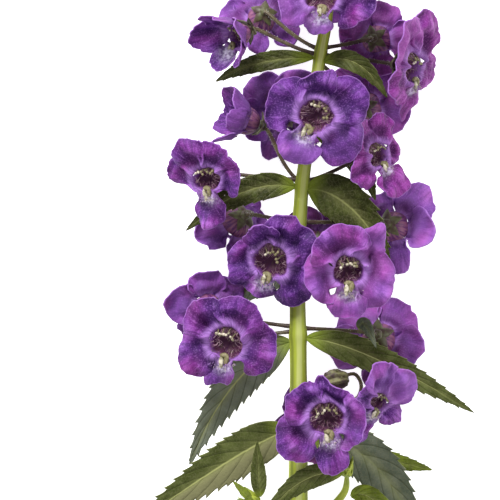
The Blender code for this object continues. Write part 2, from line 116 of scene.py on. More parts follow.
HOODED = (
    (-2, 0.8, 1.05, -4, -14, 0.3, 0.5, 0.0, 0.0),
    (10, 1.0, 0.76, 20, -30, 0.3, 0.0, 0.7, -0.5),
    (4, 0.9, 0.76, 36, -50, 0.4, 0.0, 0.0, 0.0),
    (-14, 0.75, 0.84, 36, -54, -0.4, 0.0, 0.0, 0.0),
    (-36, 0.55, 0.88, -2, -14, 0.0, 0.4, 0.0, 0.0),
)
UPPER_FRONT = (
    (2, 1.29, 0.95, 4, -16, -0.8, 0.0, 0.5, -0.5),
    (8, 1.05, 1.04, -4, -14, 0.3, 0.4, 0.8, -0.55),
    (5, 0.85, 1.03, 6, -22, -0.6, 0.0, 0.0, 0.0),
    (-13, 0.66, 0.8, 28, -18, 0.0, 1.8, 2.4, -0.5),
    (-11, 1.25, 0.96, 0, -18, -0.6, 0.0, 0.0, 0.0),
)
LOWER_LEFT = (
    (-7, 1.2, 0.73, -10, -26, -0.3, 0.6, 2.5, -0.75),
    (-4, 1.3, 1.0, -4, -20, 0.5, 0.0, 0.0, 0.0),
    (9, 1.25, 0.95, 10, -30, 0.5, 0.0, 0.0, 0.0),
    (-8, 0.7, 0.76, 34, -10, 0.0, 1.0, 0.4, 0.0),
    (2, 1.0, 0.8, 0, -18, -0.6, 0.5, 1.2, 0.35),
)
LOWER_RIGHT = (
    (-3, 1.15, 0.87, -4, -14, 0.6, 0.0, 1.3, 0.5),
    (-5, 1.4, 0.87, 4, -22, -0.5, 0.0, 0.8, -0.4),
    (1, 0.65, 0.82, -4, -6, 0.0, 0.6, 2.6, 0.0),
    (-18, 1.35, 0.84, 34, -60, 0.0, 0.0, 0.0, 0.0),
    (-2, 1.4, 0.81, 8, -28, 0.5, 0.0, 0.0, 0.0),
)
LOW_LEFT = (
    (-5, 0.95, 0.76, -4, -34, 0.8, 0.6, 3.2, -0.55),
    (10, 1.22, 0.93, 0, -20, -0.5, 0.0, 0.3, -0.3),
    (18, 0.98, 0.87, 16, -32, 0.4, 0.0, 0.0, 0.0),
    (8, 0.8, 0.92, 8, -30, -0.4, 0.6, 0.0, 0.0),
    (4, 1.08, 0.92, 8, -26, 0.5, 0.0, 0.3, 0.3),
)
BASE_FRONT = (
    (0, 0.72, 1.06, -4, -8, 0.5, 0.3, 0.6, 0.6),
    (5, 1.45, 0.8, 36, -6, 0.4, 0.6, 3.0, -0.9),
    (10, 0.9, 0.64, 16, -8, 0.3, 0.3, 4.0, 0.75),
    (8, 1.0, 0.8, 12, -28, 0.0, 0.0, 0.3, 0.0),
    (7, 0.98, 1.07, -4, -16, 0.4, 0.0, 0.0, 0.0),
)
SIDEWAYS = (
    (0, 0.85, 1.1, -10, -24, 0.4, 0.3, 1.4, 0.3),
    (0, 0.95, 0.95, 6, -30, 0.5, 0.3, 0.0, 0.0),
    (6, 1.0, 1.15, 14, -16, -0.4, 0.0, 0.0, 0.0),
    (-6, 0.95, 1.1, 14, -20, 0.4, 0.3, 0.4, 0.3),
    (0, 1.0, 0.95, 6, -20, -0.5, 0.0, 0.3, -0.4),
)
BROAD_LIP = (
    (4, 1.35, 1.2, 6, -10, 0.3, 0.4, 0.5, 0.4),
    (4, 0.9, 0.95, 4, -30, 0.5, 0.3, 0.0, 0.0),
    (6, 0.8, 1.05, 14, -20, -0.4, 0.0, 0.0, 0.0),
    (-6, 0.85, 1.05, 14, -24, 0.4, 0.3, 0.4, 0.3),
    (0, 1.05, 0.95, 0, -16, -0.5, 0.0, 0.3, -0.4),
)
TONGUE = (
    (0, 0.55, 1.3, -12, -10, 0.0, 0.5, 0.6, 0.0),
    (6, 0.8, 0.85, 8, -20, 0.4, 0.0, 0.0, 0.0),
    (4, 0.95, 1.08, 18, -26, -0.3, 0.4, 0.0, 0.0),
    (0, 0.95, 1.05, 18, -30, 0.4, 0.0, 0.3, 0.3),
    (-4, 0.8, 0.8, 10, -20, -0.4, 0.0, 0.0, 0.0),
)

# Forms that were each shaped for one bloom
SHAPED = (HOODED, UPPER_FRONT, LOWER_LEFT, LOWER_RIGHT, LOW_LEFT, BASE_FRONT, TONGUE)

# Blooms: name, pixel and height of the throat, facing, direction of the lower lobe in the view,
# size, form, the stem row its stalk grows from, and its share of magenta
Bloom = namedtuple("Bloom", "name pixel height facing down_angle size form row pink")
BLOOMS = [Bloom(*values) for values in (
    ("top_front", (321, -4), 25.0, (0.0, 0.2, 0.98), -90, 1.0, SHORT_LIP, 8, 0.3),
    ("top_left", (234, 36), 19.0, (-0.7, -0.3, 0.65), -125, 0.85, CUPPED, 55, 0.25),
    ("top_left_back", (262, 18), 7.5, (-0.1, -0.3, -0.95), -100, 0.8, FLAT, 50, 0.3),
    ("top_right", (416, 68), 17.5, (0.85, -0.15, 0.5), -70, 0.95, SIDEWAYS, 55, 1.0),
    ("top_right_far", (378, 38), 9.0, (0.2, 0.0, -0.98), -70, 0.8, FLAT, 48, 0.9),
    ("top_right_back", (368, 104), 4.0, (0.2, 0.1, -0.97), -90, 0.85, FLAT, 64, 0.7),
    ("upper_front", (315, 117), 26.0, (0.0, -0.05, 1.0), -120, 1.03, UPPER_FRONT, 130, 0.0),
    ("upper_left_back", (280, 112), 5.6, (-0.2, 0.1, -0.97), -90, 0.9, FLAT, 122, 0.25),
    ("upper_left", (243, 119), 16.0, (-0.9, 0.35, 0.2), -95, 0.78, CUPPED, 184, 0.25),
    ("middle_left", (205, 177), 21.0, (-0.4, -0.15, 0.9), -85, 0.95, HOODED, 180, 0.4),
    ("middle_right", (380, 154), 17.5, (0.7, 0.1, 0.7), -55, 0.8, BROAD_LIP, 182, 1.0),
    ("middle_left_back", (234, 224), 6.0, (-0.45, -0.35, -0.82), -150, 0.9, FLAT, 222, 0.3),
    ("middle_right_back", (397, 226), 4.8, (0.4, -0.1, -0.9), -80, 0.9, FLAT, 222, 0.3),
    ("lower_front_left",
     (270, 262), 22.5, (-0.15, -0.15, 0.97), -105, 1.03, LOWER_LEFT, 262, 0.05),
    ("lower_front_right",
     (348, 270), 26.0, (0.12, -0.1, 0.98), -90, 1.05, LOWER_RIGHT, 258, 0.6),
    ("lower_back", (318, 244), 8.4, (0.0, 0.1, -0.99), -90, 0.84, FLAT, 262, 0.6),
    ("low_left", (225, 342), 21.0, (-0.25, -0.05, 0.97), -95, 1.05, LOW_LEFT, 331, 0.4),
    ("low_left_back", (206, 306), 7.6, (-0.25, 0.25, -0.93), -120, 0.8, FLAT, 327, 0.3),
    ("low_right_back", (380, 340), 5.6, (0.1, -0.2, -0.97), -90, 0.98, FLAT, 328, 0.5),
    ("base_front", (326, 418), 24.5, (0.0, -0.15, 0.99), -82, 1.03, BASE_FRONT, 430, 0.3),
    ("base_right", (381, 401), 18.0, (0.6, -0.3, 0.74), -118, 0.78, TONGUE, 428, 0.3),
    ("base_back", (318, 424), 4.4, (0.0, 0.0, -1.0), -90, 0.85, FLAT, 432, 0.3),
    ("crown_back", (339, -26), 5.4, (0.0, 0.0, -1.0), -90, 0.84, FLAT, -8, 0.3),
    ("crown_left", (274, -64), 15.5, (-0.65, 0.2, 0.7), -110, 0.85, OPEN, -66, 0.3),
    ("crown_right", (368, -56), 14.0, (0.75, 0.1, 0.6), -75, 0.85, OPEN, -70, 0.9),
    ("crown_under", (314, -98), 5.0, (-0.1, 0.2, -0.98), -90, 0.78, CUPPED, -90, 0.3),
    ("crown_front", (322, -106), 23.0, (0.0, 0.25, 0.97), -90, 0.75, CUPPED, -95, 0.3),
)]

# Width of the gaps to the left and right of the lower lobe, where a bloom's aren't the usual
GAPS = {
    "upper_front": (0.8, 1.1),
    "lower_front_left": (0.3, 1.3),
    "lower_front_right": (1.4, 0.4),
    "low_left": (0.3, 1.0),
    "base_front": (1.6, 0.4),
    "top_front": (0.5, 1.3),
}
USUAL_GAPS = (0.8, 0.8)

# Size of a bloom's throat as a share of the full one, and how far its top is pressed in
THROATS = {
    "middle_left": (0.95, 0.45),
    "lower_front_right": (0.84, 0.1),
    "base_right": (0.85, 0.3),
    "top_left": (0.85, 0.2),
}
USUAL_THROAT = (0.97, 0.06)

# Calyx: how far it is behind the throat for a full-sized cup and behind any cup, and how far its
# sepals reach out and forward
CUP_SETBACK = 4.8
CALYX_SETBACK = 1.125
SEPAL_REACH = 3.9
SEPAL_LIFT = 1.8

# Stem axis from the cut end to the tip: pixel, height and radius
STEM_LINE = (
    (300, 600, 1.3, 2.2),
    (300, 578, 1.3, 2.2),
    (299, 560, 2.9, 2.15),
    (298, 500, 9.0, 2.1),
    (299, 430, 13.6, 1.9),
    (298, 335, 15.2, 1.75),
    (297, 258, 15.4, 1.55),
    (302, 184, 15.4, 1.45),
    (311, 120, 15.4, 1.35),
    (320, 55, 15.2, 1.3),
    (327, 20, 15.0, 1.25),
    (330, -40, 14.6, 1.1),
    (327, -100, 13.8, 0.95),
    (322, -150, 12.6, 0.8),
    (318, -196, 11.0, 0.55),
)

# Nodes of the stem: their rows, how much thicker it is there, and over how many rows
NODE_ROWS = (430, 335, 258, 184, 120, 55, -10, -75)
NODE_SWELLING = 0.14
NODE_LENGTH = 7.0

# Flower stalks: radius, share of the length and of the climb with which they leave the stem, and
# share of the length and greatest length with which they arrive behind the flower
STALK_RADIUS = 0.5
STALK_LEAVING_SHARE = 0.45
STALK_LEAVING_CLIMB = 0.5
STALK_ARRIVAL_SHARE = 0.3
STALK_ARRIVAL = 2.5

# Leaves on the stem: name, stem row of the root, pixels and heights of the bend and the tip,
# half width, fold of the two halves in degrees (up is positive), and roll about the midrib
STEM_LEAVES = (
    ("top_left", 58, ((272, 57, 16.5), (240, 66, 14.5), (216, 81, 10.0)), 2.3, 20, 10),
    ("top_right", 62, ((348, 52, 18.0), (370, 68, 19.0), (387, 98, 17.0)), 2.4, 25, 0),
    ("upper_right", 132, ((345, 140, 12.0), (366, 165, 10.5), (376, 200, 9.0)), 3.0, 10, 0),
    ("middle_left", 187, ((266, 180, 17.0), (226, 192, 16.5), (186, 231, 13.0)), 3.2, 15, 0),
    ("middle_right", 189, ((336, 188, 18.0), (366, 216, 16.5), (390, 262, 14.0)), 5.2, 14, 0),
    ("lower_left", 262, ((268, 286, 7.0), (240, 284, 4.0), (229, 308, 1.4)), 3.2, 10, 0),
    ("low_left", 342, ((258, 350, 11.5), (214, 398, 7.0), (189, 467, 3.0)), 4.8, 18, 0),
    ("low_right", 338, ((346, 340, 16.5), (408, 372, 12.5), (476, 414, 6.0)), 3.5, 16, 0),
    ("base_left", 430, ((262, 438, 11.5), (205, 476, 6.0), (124, 534, 0.0)), 5.0, 12, 0),
    ("base_right", 438, ((362, 436, 11.0), (402, 482, 6.5), (424, 560, 0.0)), 5.4, 14, 0),
    ("base_tip", 446, ((352, 456, 7.0), (400, 463, 4.5), (434, 472, 2.0)), 2.7, 8, 0),
    ("foot_left", 556, ((262, 562, 4.5), (214, 575, 3.0), (176, 600, 0.0)), 3.4, 12, 0),
    ("foot_right", 562, ((338, 572, 4.5), (356, 584, 3.0), (384, 606, 0.0)), 3.0, 12, 0),
    ("crown_left", -82, ((300, -82, 12.0), (288, -84, 9.0), (270, -70, 6.0)), 1.8, 15, 0),
    ("crown_right", -78, ((356, -90, 12.0), (372, -96, 9.0), (390, -88, 5.0)), 1.8, 15, 0),
)

# Leaves on the side shoots and a bract on a flower stalk: name, pixels and heights from the root
# to the tip, and the rest as above
SHOOT_LEAVES = (
    ("shoot_right_arched",
     ((342, 474, 14.0), (318, 468, 17.5), (290, 482, 16.0), (262, 520, 10.0)), 2.7, 14, 0),
    ("shoot_right_outer",
     ((352, 497, 11.5), (366, 487, 14.0), (388, 508, 13.0), (402, 545, 9.0)), 2.6, 16, 0),
    ("shoot_left_upright", ((260, 497, 11.2), (258, 476, 13.0), (257, 441, 14.5)), 1.9, 20, 0),
    ("shoot_left_small", ((253, 503, 10.8), (244, 492, 12.0), (233, 482, 12.0)), 0.9, 10, 0),
    ("shoot_left_outer", ((257, 513, 9.2), (240, 508, 8.5), (212, 520, 5.0)), 2.6, 12, 0),
    ("bract", ((360, 329, 14.2), (363, 312, 18.2), (376, 348, 18.6)), 1.5, 15, 0),
)

# Finish of each leaf that isn't plain green, and the finishes: their two colours, gloss, and the
# strength of the midrib and of the fading of one half
LEAF_TONES = {
    "low_left": "pale", "base_right": "grey", "bract": "grey", "lower_left": "grey",
    "base_tip": "bright", "shoot_right_outer": "bright", "shoot_left_outer": "bright",
    "foot_right": "bright", "shoot_left_small": "bright",
    # Deep is painted shade on these leaves
    "middle_left": "deep", "middle_right": "deep", "top_left": "deep", "base_left": "faded",
}
LEAF_FINISHES = {
    "green": ("dark_green", "green", 0.38, 0.8),
    "deep": ("deep_green", "dark_green", 0.35, 0.35),
    "grey": ("dull_green", "grey_green", 0.6, 0.1),
    "pale": ("grey_green", "pale_grey", 0.6, 0.7),
    "bright": ("young_green", "bright_green", 0.42, 0.6),
    "faded": ("dark_green", "green", 0.5, 0.7, 0.7),
}
LEAF_BACK = ("dull_green", "grey_green", 0.6)

# Side shoots in the leaf axils: pixels and heights along each, and its radius
SHOOTS = (
    (((300, 548, 5.0), (322, 520, 9.0), (344, 494, 11.0), (347, 476, 12.4)), 1.0),
    (((299, 548, 5.0), (283, 526, 8.5), (266, 508, 10.0), (259, 503, 10.2)), 0.9),
)

# Buds at the crown: number, pixel and height of the middle, direction of the tip, length, and
# the stem row that the stalk grows from
Bud = namedtuple("Bud", "number pixel height facing length row")
BUDS = [Bud(*values) for values in (
    ("01", (296, -138), 15.0, (-0.6, 0.6, 0.3), 6.0, -120),
    ("02", (348, -134), 13.0, (0.7, 0.6, 0.1), 6.0, -120),
    ("03", (318, -148), 19.0, (-0.1, 0.7, 0.7), 5.6, -130),
    ("04", (326, -146), 7.0, (0.1, 0.7, -0.6), 5.6, -130),
    ("05", (302, -168), 11.0, (-0.6, 0.7, 0.1), 4.6, -152),
    ("06", (338, -166), 12.5, (0.6, 0.7, 0.2), 4.6, -152),
)]

# Turn of every bud's frame in degrees, and the gap between a bud and the middle of its calyx
BUD_TURN = -80
CALYX_GAP = 0.45

# Withered flower: stem row and places of its hooked stalk, and its middle and half widths
POD_ROW = 430
POD_STALK = (
    (325, 416, 12.8),
    (352, 403, 12.0),
    (360, 394, 12.0),
    (361, 383, 12.5),
    (354, 374, 13.0),
    (340, 378, 13.8),
)
POD_MIDDLE = (336, 380, 14.0)
POD_SIZE = (2.7, 2.1, 2.0)

# Tight green buds at the tip: their number, and how they wind round the stem: rows from one
# to the next, reach, lean along the stem and lean outwards
TIP_BUDS = 7
TIP_BUD_SPACING = 3.6
TIP_BUD_REACH = 1.6
TIP_BUD_LEAN = 0.4
TIP_BUD_SPLAY = 0.4
GOLDEN_ANGLE = math.radians(137.5)


def length(label, what, default):
    """Size in millimetres that a user can change."""
    return FloatProperty(name=label, description=what, default=default, min=0.0)


def colour(label, what, default):
    """Colour that a user can change."""
    return FloatVectorProperty(
        name=label, description=what, default=default, subtype="COLOR", size=3, min=0.0, max=1.0)


class PetalSettings(bpy.types.PropertyGroup):
    """Sizes and colours of the corollas."""
    throat_radius: length("Throat radius", "Radius of the cup's rim, in mm", 3.9)
    cup_depth: length("Cup depth", "Depth of the cup behind its rim, in mm", 4.8)
    rim_roll: length("Rim roll", "How far the rim rolls back into the cup, in mm", 1.0)
    lobe_reach: length("Lobe reach", "Reach of a full lobe from the throat's middle, in mm", 11.8)
    lobe_arch: length("Lobe arch", "How far a lobe's sides fall back, in mm", 1.0)
    ruffle: length("Ruffle", "Height of the waves along a lobe's edge, in mm", 0.6)
    fringe: length("Fringe", "Depth of the notches in a lobe's edge, in mm", 0.4)
    billow: length("Billow", "Height of the broad swells over a lobe, in mm", 1.3)
    fold: length("Fold", "Height of the folds that run out from the throat, in mm", 0.5)
    pucker: length("Pucker", "Height of the small dents over a lobe, in mm", 0.25)
    pocket: length("Pocket", "Depth of the hollow at a lobe's root, in mm", 1.2)
    seam: length("Seam", "Height of the ridges between the lobes' roots, in mm", 1.0)
    thickness: length("Thickness", "Thickness of the petals, in mm", 0.26)
    violet: colour("Violet", "Middle of a violet lobe", (0.12, 0.024, 0.22))
    # Deep violet and deep magenta are painted shade in the lobes' hollows
    deep_violet: colour("Deep violet", "Hollows of a violet lobe", (0.045, 0.009, 0.10))
    magenta: colour("Magenta", "Middle of a magenta lobe", (0.23, 0.028, 0.24))
    deep_magenta: colour("Deep magenta", "Hollows of a magenta lobe", (0.09, 0.010, 0.11))
    # Bright magenta and the lilac below are also painted highlight on the lobes' crests
    bright_magenta: colour("Bright magenta", "Crests of a magenta lobe", (0.42, 0.12, 0.48))
    lilac: colour("Lilac", "Throat's rim and crests of a violet lobe", (0.36, 0.14, 0.56))
    rim: colour("Rim", "Pale streaks that run out from the throat", (0.40, 0.20, 0.58))
    lip: colour("Lip", "White-lilac root of the lower lobe", (0.78, 0.71, 0.90))
    # Edge is painted highlight: a thin pale line along the lobes' edges
    edge: colour("Edge", "Thin pale edge of the lobes", (0.36, 0.16, 0.52))
    throat: colour("Throat", "Maroon inside of the cup", (0.13, 0.035, 0.08))
    pouch: colour("Pouch", "Pinkish outside of the cup", (0.26, 0.09, 0.17))
    hair: colour("Throat hair", "Pinkish hairs of the throat", (0.66, 0.46, 0.50))
    tooth: colour("Tooth", "Cream tooth under the throat", (0.62, 0.57, 0.44))
    olive: colour("Olive", "Dull anthers and side of the tooth", (0.15, 0.13, 0.055))
    dull_cream: colour("Dull cream", "Paler grains on them", (0.25, 0.21, 0.11))
    anther: colour("Anther", "Cream anthers", (0.70, 0.62, 0.50))


class LeafSettings(bpy.types.PropertyGroup):
    """Sizes and colours of the leaves."""
    thickness: length("Thickness", "Thickness of a leaf, in mm", 0.35)
    tooth_spacing: length("Tooth spacing", "Distance between teeth, in mm", 2.3)
    tooth_depth: length("Tooth depth", "Depth of the teeth, in mm", 0.75)
    deep_green: colour("Deep green", "Shaded leaves", (0.026, 0.030, 0.007))
    dark_green: colour("Dark green", "Upper face", (0.052, 0.064, 0.014))
    green: colour("Green", "Lighter parts of the upper face", (0.098, 0.116, 0.032))
    bright_green: colour("Bright green", "Young leaves", (0.20, 0.26, 0.025))
    young_green: colour("Young green", "Dull parts of the young leaves", (0.10, 0.13, 0.016))
    grey_green: colour("Grey green", "Leaves seen from below", (0.135, 0.152, 0.108))
    dull_green: colour("Dull green", "Darker parts of their grey", (0.080, 0.098, 0.066))
    pale_grey: colour("Pale grey", "The palest of them", (0.178, 0.20, 0.148))
    midrib: colour("Midrib", "Pale midrib", (0.44, 0.46, 0.17))
    net: colour("Net", "Fine grey-brown net of a faded leaf", (0.20, 0.19, 0.10))


class StemSettings(bpy.types.PropertyGroup):
    """Sizes and colours of the stem and of the flower stalks."""
    groove: FloatProperty(
        name="Groove", description="Depth of the grooves as a share of the radius", default=0.05)
    hair_length: length("Hair length", "Length of the stalk hairs, in mm", 0.4)
    yellow_green: colour("Yellow green", "Stem between its ribs", (0.36, 0.42, 0.04))
    pale_green: colour("Pale green", "Ribs of the stem", (0.56, 0.60, 0.21))
    pith: colour("Pith", "Pale middle of the cut end", (0.62, 0.66, 0.40))
    # Deep green is also the painted shade over the stem's middle and down one side
    deep_green: colour("Deep green", "Grooves and duller middle of the stem", (0.17, 0.20, 0.02))
    maroon: colour("Maroon", "Flower stalks", (0.05, 0.024, 0.017))
    stalk_green: colour("Stalk green", "Greener parts of the stalks", (0.10, 0.08, 0.032))
    sepal: colour("Sepal", "Calyx", (0.085, 0.09, 0.03))
    withered: colour("Withered", "Brown folds of the withered flower", (0.060, 0.034, 0.034))
    dry_green: colour("Dry green", "Paler patches of the withered flower", (0.19, 0.18, 0.075))
    hair: colour("Hair", "White hairs of the stalks", (0.75, 0.74, 0.70))


class StageSettings(bpy.types.PropertyGroup):
    """Camera, table and light."""
    camera_height: FloatProperty(
        name="Camera height", description="Camera above the stem", default=1.2, unit="LENGTH")
    table_size: FloatProperty(
        name="Table size", description="Side of the pale table", default=3.0, unit="LENGTH")
    table: colour("Table", "Pale table", (0.93, 0.93, 0.93))
    glow: FloatProperty(
        name="Glow", description="Light that comes through the table", default=0.8, min=0.0)


def from_view(px, py, height):
    """Point over a pixel of the view, at a height in millimetres."""
    return Vector(((px - SPIKE_MIDDLE[0]) * PIXEL, (SPIKE_MIDDLE[1] - py) * PIXEL, height * MM))


def above_table(place, thickness):
    """The place, lifted until a sheet of this thickness lies on the table."""
    place.z = max(place.z, thickness / 2 * MM)
    return place


def smooth(value):
    """Eased step from 0 to 1."""
    value = min(max(value, 0.0), 1.0)
    return value * value * (3 - 2 * value)


def blend(a, b, share):
    """Value that is this share of the way from a to b."""
    return a + (b - a) * share


def rough(*place):
    """Smooth random value between -1 and 1 at a place, the same in each run."""
    return noise.noise(Vector(place))


def own_map(shape):
    """The shape's UV layer, under the name that the finishes read."""
    layers = shape.loops.layers.uv
    return layers.get(UV_MAP) or layers.new(UV_MAP)


def patch(shape, columns, rows, point, finish=0, mark=None):
    """Grid of quads in the shape, each corner (u, v) from 0 to 1 put where point(u, v) says."""
    uv = own_map(shape)
    grid = bmesh.ops.create_grid(shape, x_segments=columns, y_segments=rows, size=1.0)
    places = {v: ((v.co.x + 1) / 2, (v.co.y + 1) / 2) for v in grid["verts"]}
    for vertex, place in places.items():
        vertex.co = point(*place)
        if mark:
            mark(vertex, *place)
    for face in {f for vertex in places for f in vertex.link_faces}:
        face.material_index = finish
        for loop in face.loops:
            loop[uv].uv = places[loop.vert]


def strands(shape, count, sides, rows, point, finish=0):
    """Many thin closed strands made from one grid: point(number, around, along) places them."""
    uv = own_map(shape)
    width = sides + 1
    last = count * width - 1
    grid = bmesh.ops.create_grid(shape, x_segments=last, y_segments=rows, size=1.0)
    places = {}
    for vertex in grid["verts"]:
        column = round((vertex.co.x + 1) / 2 * last)
        places[vertex] = (column // width, column % width / sides, (vertex.co.y + 1) / 2)
    between = []
    for face in {f for vertex in places for f in vertex.link_faces}:
        if len({places[v][0] for v in face.verts}) > 1:
            between.append(face)
    bmesh.ops.delete(shape, geom=between, context="FACES_ONLY")
    loose = [e for e in shape.edges if e.is_wire]
    bmesh.ops.delete(shape, geom=loose, context="EDGES")
    for vertex, place in places.items():
        vertex.co = point(*place)
        for loop in vertex.link_loops:
            loop[uv].uv = place[1:]
            loop.face.material_index = finish


def frames_along(points):
    """Side and up directions at each point of a line, turned as little as may be."""
    frames = []
    side = None
    for before, after in zip([points[0]] + points[:-1], points[1:] + [points[-1]]):
        ahead = (after - before).normalized()
        if side is None:
            side = ahead.orthogonal().normalized()
        side = (side - ahead * side.dot(ahead)).normalized()
        frames.append((side, ahead.cross(side)))
    return frames


def tube(shape, points, radii, sides, finish=0):
    """Closed rod along points, with a flat cap at each end."""
    frames = frames_along(points)
    stations = list(zip(points, radii, frames))
    first, last = stations[0], stations[-1]
    stations = [(first[0], 0.0, first[2])] + stations + [(last[0], 0.0, last[2])]

    def point(u, v):
        place, radius, (side, up) = stations[round(v * (len(stations) - 1))]
        turn = 2 * math.pi * u
        return place + (side * math.cos(turn) + up * math.sin(turn)) * radius * MM

    patch(shape, sides, len(stations) - 1, point, finish)


def lump(shape, middle, size, turned, rings, dent, finish=0):
    """Rounded body: size is three half widths, dent(direction) scales them in each direction."""
    def point(u, v):
        turn = 2 * math.pi * u
        rise = math.pi * (v - 0.5)
        out = Vector((math.cos(turn) * math.cos(rise), math.sin(turn) * math.cos(rise),
                      math.sin(rise)))
        swollen = dent(out)
        return middle + turned @ Vector([a * b * swollen * MM for a, b in zip(out, size)])

    patch(shape, rings * 2, rings, point, finish)


def weld(shape):
    bmesh.ops.remove_doubles(shape, verts=shape.verts, dist=WELD * MM)
    bmesh.ops.dissolve_degenerate(shape, edges=shape.edges, dist=WELD * MM / 2)


def add_piece(name, shape, finishes, nodes=(), closed=True):
    """Makes the shape a piece of the spike, which stands for the nodes."""
    weld(shape)
    if closed:
        bmesh.ops.recalc_face_normals(shape, faces=shape.faces)
    mesh = bpy.data.meshes.new(name)
    shape.to_mesh(mesh)
    shape.free()
    mesh.shade_smooth()
    for finish in finishes:
        mesh.materials.append(finish)
    piece = bpy.data.objects.new(name, mesh)
    bpy.context.scene.collection.objects.link(piece)
    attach(piece, BODY)
    if nodes:
        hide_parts(*nodes)
    return piece


def thicken(piece, thickness, backs=0):
    """Gives a sheet its thickness; its back takes the finish that lies backs further on."""
    wall = piece.modifiers.new("thickness", "SOLIDIFY")
    wall.thickness = thickness * MM
    wall.offset = 0.0
    wall.material_offset = backs


class Finish:
    """Node material that is built up step by step."""

    def __init__(self, name, roughness, **constants):
        self.material = bpy.data.materials.new(name)
        self.material.use_nodes = True
        self.tree = self.material.node_tree
        self.shader = self.tree.nodes["Principled BSDF"]
        self.shader.inputs["Roughness"].default_value = roughness
        for socket, value in constants.items():
            self.shader.inputs[socket.replace("_", " ")].default_value = value

    def node(self, kind, inputs=(), **settings):
        """Node with its settings and inputs, which are sockets or constants."""
        made = self.tree.nodes.new(kind)
        for key, value in settings.items():
            setattr(made, key, value)
        for key, value in dict(inputs).items():
            if isinstance(value, bpy.types.NodeSocket):
                self.tree.links.new(value, made.inputs[key])
            else:
                made.inputs[key].default_value = value
        return made

    def object_place(self):
        return self.node("ShaderNodeTexCoord").outputs["Object"]

    def map_place(self):
        return self.node("ShaderNodeUVMap", uv_map=UV_MAP).outputs[0]

    def across_and_along(self):
        """How far across and along a sheet the place on its own map is, from 0 to 1."""
        split = self.node("ShaderNodeSeparateXYZ", {0: self.map_place()})
        return split.outputs[0], split.outputs[1]

    def attribute(self, name):
        return self.node("ShaderNodeAttribute", attribute_name=name).outputs["Fac"]

    def math(self, operation, *values):
        made = self.node("ShaderNodeMath", dict(enumerate(values)), operation=operation)
        return made.outputs[0]

    def from_middle(self, across):
        """0 along the middle of a sheet and 1 at both its sides."""
        off = self.math("ABSOLUTE", self.math("SUBTRACT", across, 0.5))
        return self.math("MULTIPLY", off, 2.0)

    def noise(self, place, scale, detail):
        made = self.node("ShaderNodeTexNoise", {"Vector": place, "Scale": scale, "Detail": detail})
        return made.outputs[0]

    def grain(self, scale, detail=3.0):
        """Noise through the piece's own space, finer where the scale is larger."""
        return self.noise(self.object_place(), scale, detail)

    def streaks(self, across, along, detail=3.0):
        """Noise on the piece's own map, with a scale across and one along the sheet."""
        scaled = self.node("ShaderNodeMapping",
                           {"Vector": self.map_place(), "Scale": (across, along, 1.0)})
        return self.noise(scaled.outputs[0], 1.0, detail)

    def range(self, value, low, high, start=0.0, end=1.0):
        """Eased change from start at low to end at high."""
        made = self.node(
            "ShaderNodeMapRange",
            {"Value": value, "From Min": low, "From Max": high, "To Min": start, "To Max": end},
            interpolation_type="SMOOTHSTEP")
        return made.outputs[0]

    def mix(self, factor, a, b):
        """Colour between a and b, which are sockets or constants."""
        a, b = (c if isinstance(c, bpy.types.NodeSocket) else (*c, 1.0) for c in (a, b))
        return self.node("ShaderNodeMix", {0: factor, 6: a, 7: b}, data_type="RGBA").outputs[2]

    def layered(self, tone, layers, settings, **made):
        """The tone with a row's colour laid over it for each row of a table of layers.

        What a row follows is made by the caller, and its colour too where no setting gives it.
        """
        for follows, colour, *change in layers:
            over = made[colour] if colour in made else getattr(settings, colour)
            tone = self.mix(self.range(made[follows], *change), tone, over)
        return tone

    def colour(self, socket):
        self.tree.links.new(socket, self.shader.inputs["Base Color"])

    def bump(self, height, strength, distance):
        made = self.node("ShaderNodeBump",
                         {"Height": height, "Strength": strength, "Distance": distance * MM})
        self.tree.links.new(made.outputs[0], self.shader.inputs["Normal"])


# Tables of layers: what each layer follows, its colour, two values of what it follows, and the
# colour's strength at the first and at the second
PETAL_LAYERS = (
    # The light rows paint shade in a lobe's hollows and highlight on its crests
    ("light", "middle", 0.3, 0.8, 0.0, 1.0),
    ("light", "bright", 0.7, 1.15, 0.0, 0.75),
    ("veins", "deep", 0.36, 0.56, 0.65, 0.0),
    ("veins", "bright", 0.56, 0.72, 0.0, 0.4),
    ("grain", "bright", 0.5, 0.7, 0.0, 0.34),
    ("grain", "deep", 0.32, 0.48, 0.4, 0.0),
)
PETAL_EDGE_HIGHLIGHTS = (
    ("side", "edge", 0.97, 1.0, 0.0, 0.8),
    ("along", "edge", 0.965, 0.995, 0.0, 0.75),
)
THROAT_LAYERS = (
    ("streaks", "deep_magenta", 0.4, 0.75, 0.0, 1.0),
    ("along", "lilac", 0.6, 0.92, 0.0, 0.8),
    ("grain", "olive", 0.55, 0.7, 0.0, 0.6),
)
POUCH_LAYERS = (("veins", "deep_magenta", 0.4, 0.65, 0.0, 1.0),)
LEAF_LAYERS = (
    ("vein", "deep_green", 0.0, 0.09, 0.55, 0.0),
    ("side", "midrib", 0.05, 0.45, 0.16, 0.0),
)
LEAF_EDGES = (
    ("side", "midrib", 0.96, 1.0, 0.0, 0.3),
    ("along", "bright_green", 0.03, 0.22, 0.75, 0.0),
)
STRIPE_LAYERS = (
    ("stripes", "yellow_green", 0.0, 0.22, 0.0, 1.0),
    ("stripes", "pale_green", 0.24, 0.42, 0.0, 0.9),
)
BARK_LAYERS = (
    ("fibres", "deep_green", 0.5, 0.75, 0.0, 0.4),
    ("grain", "pale_green", 0.6, 0.8, 0.0, 0.3),
)

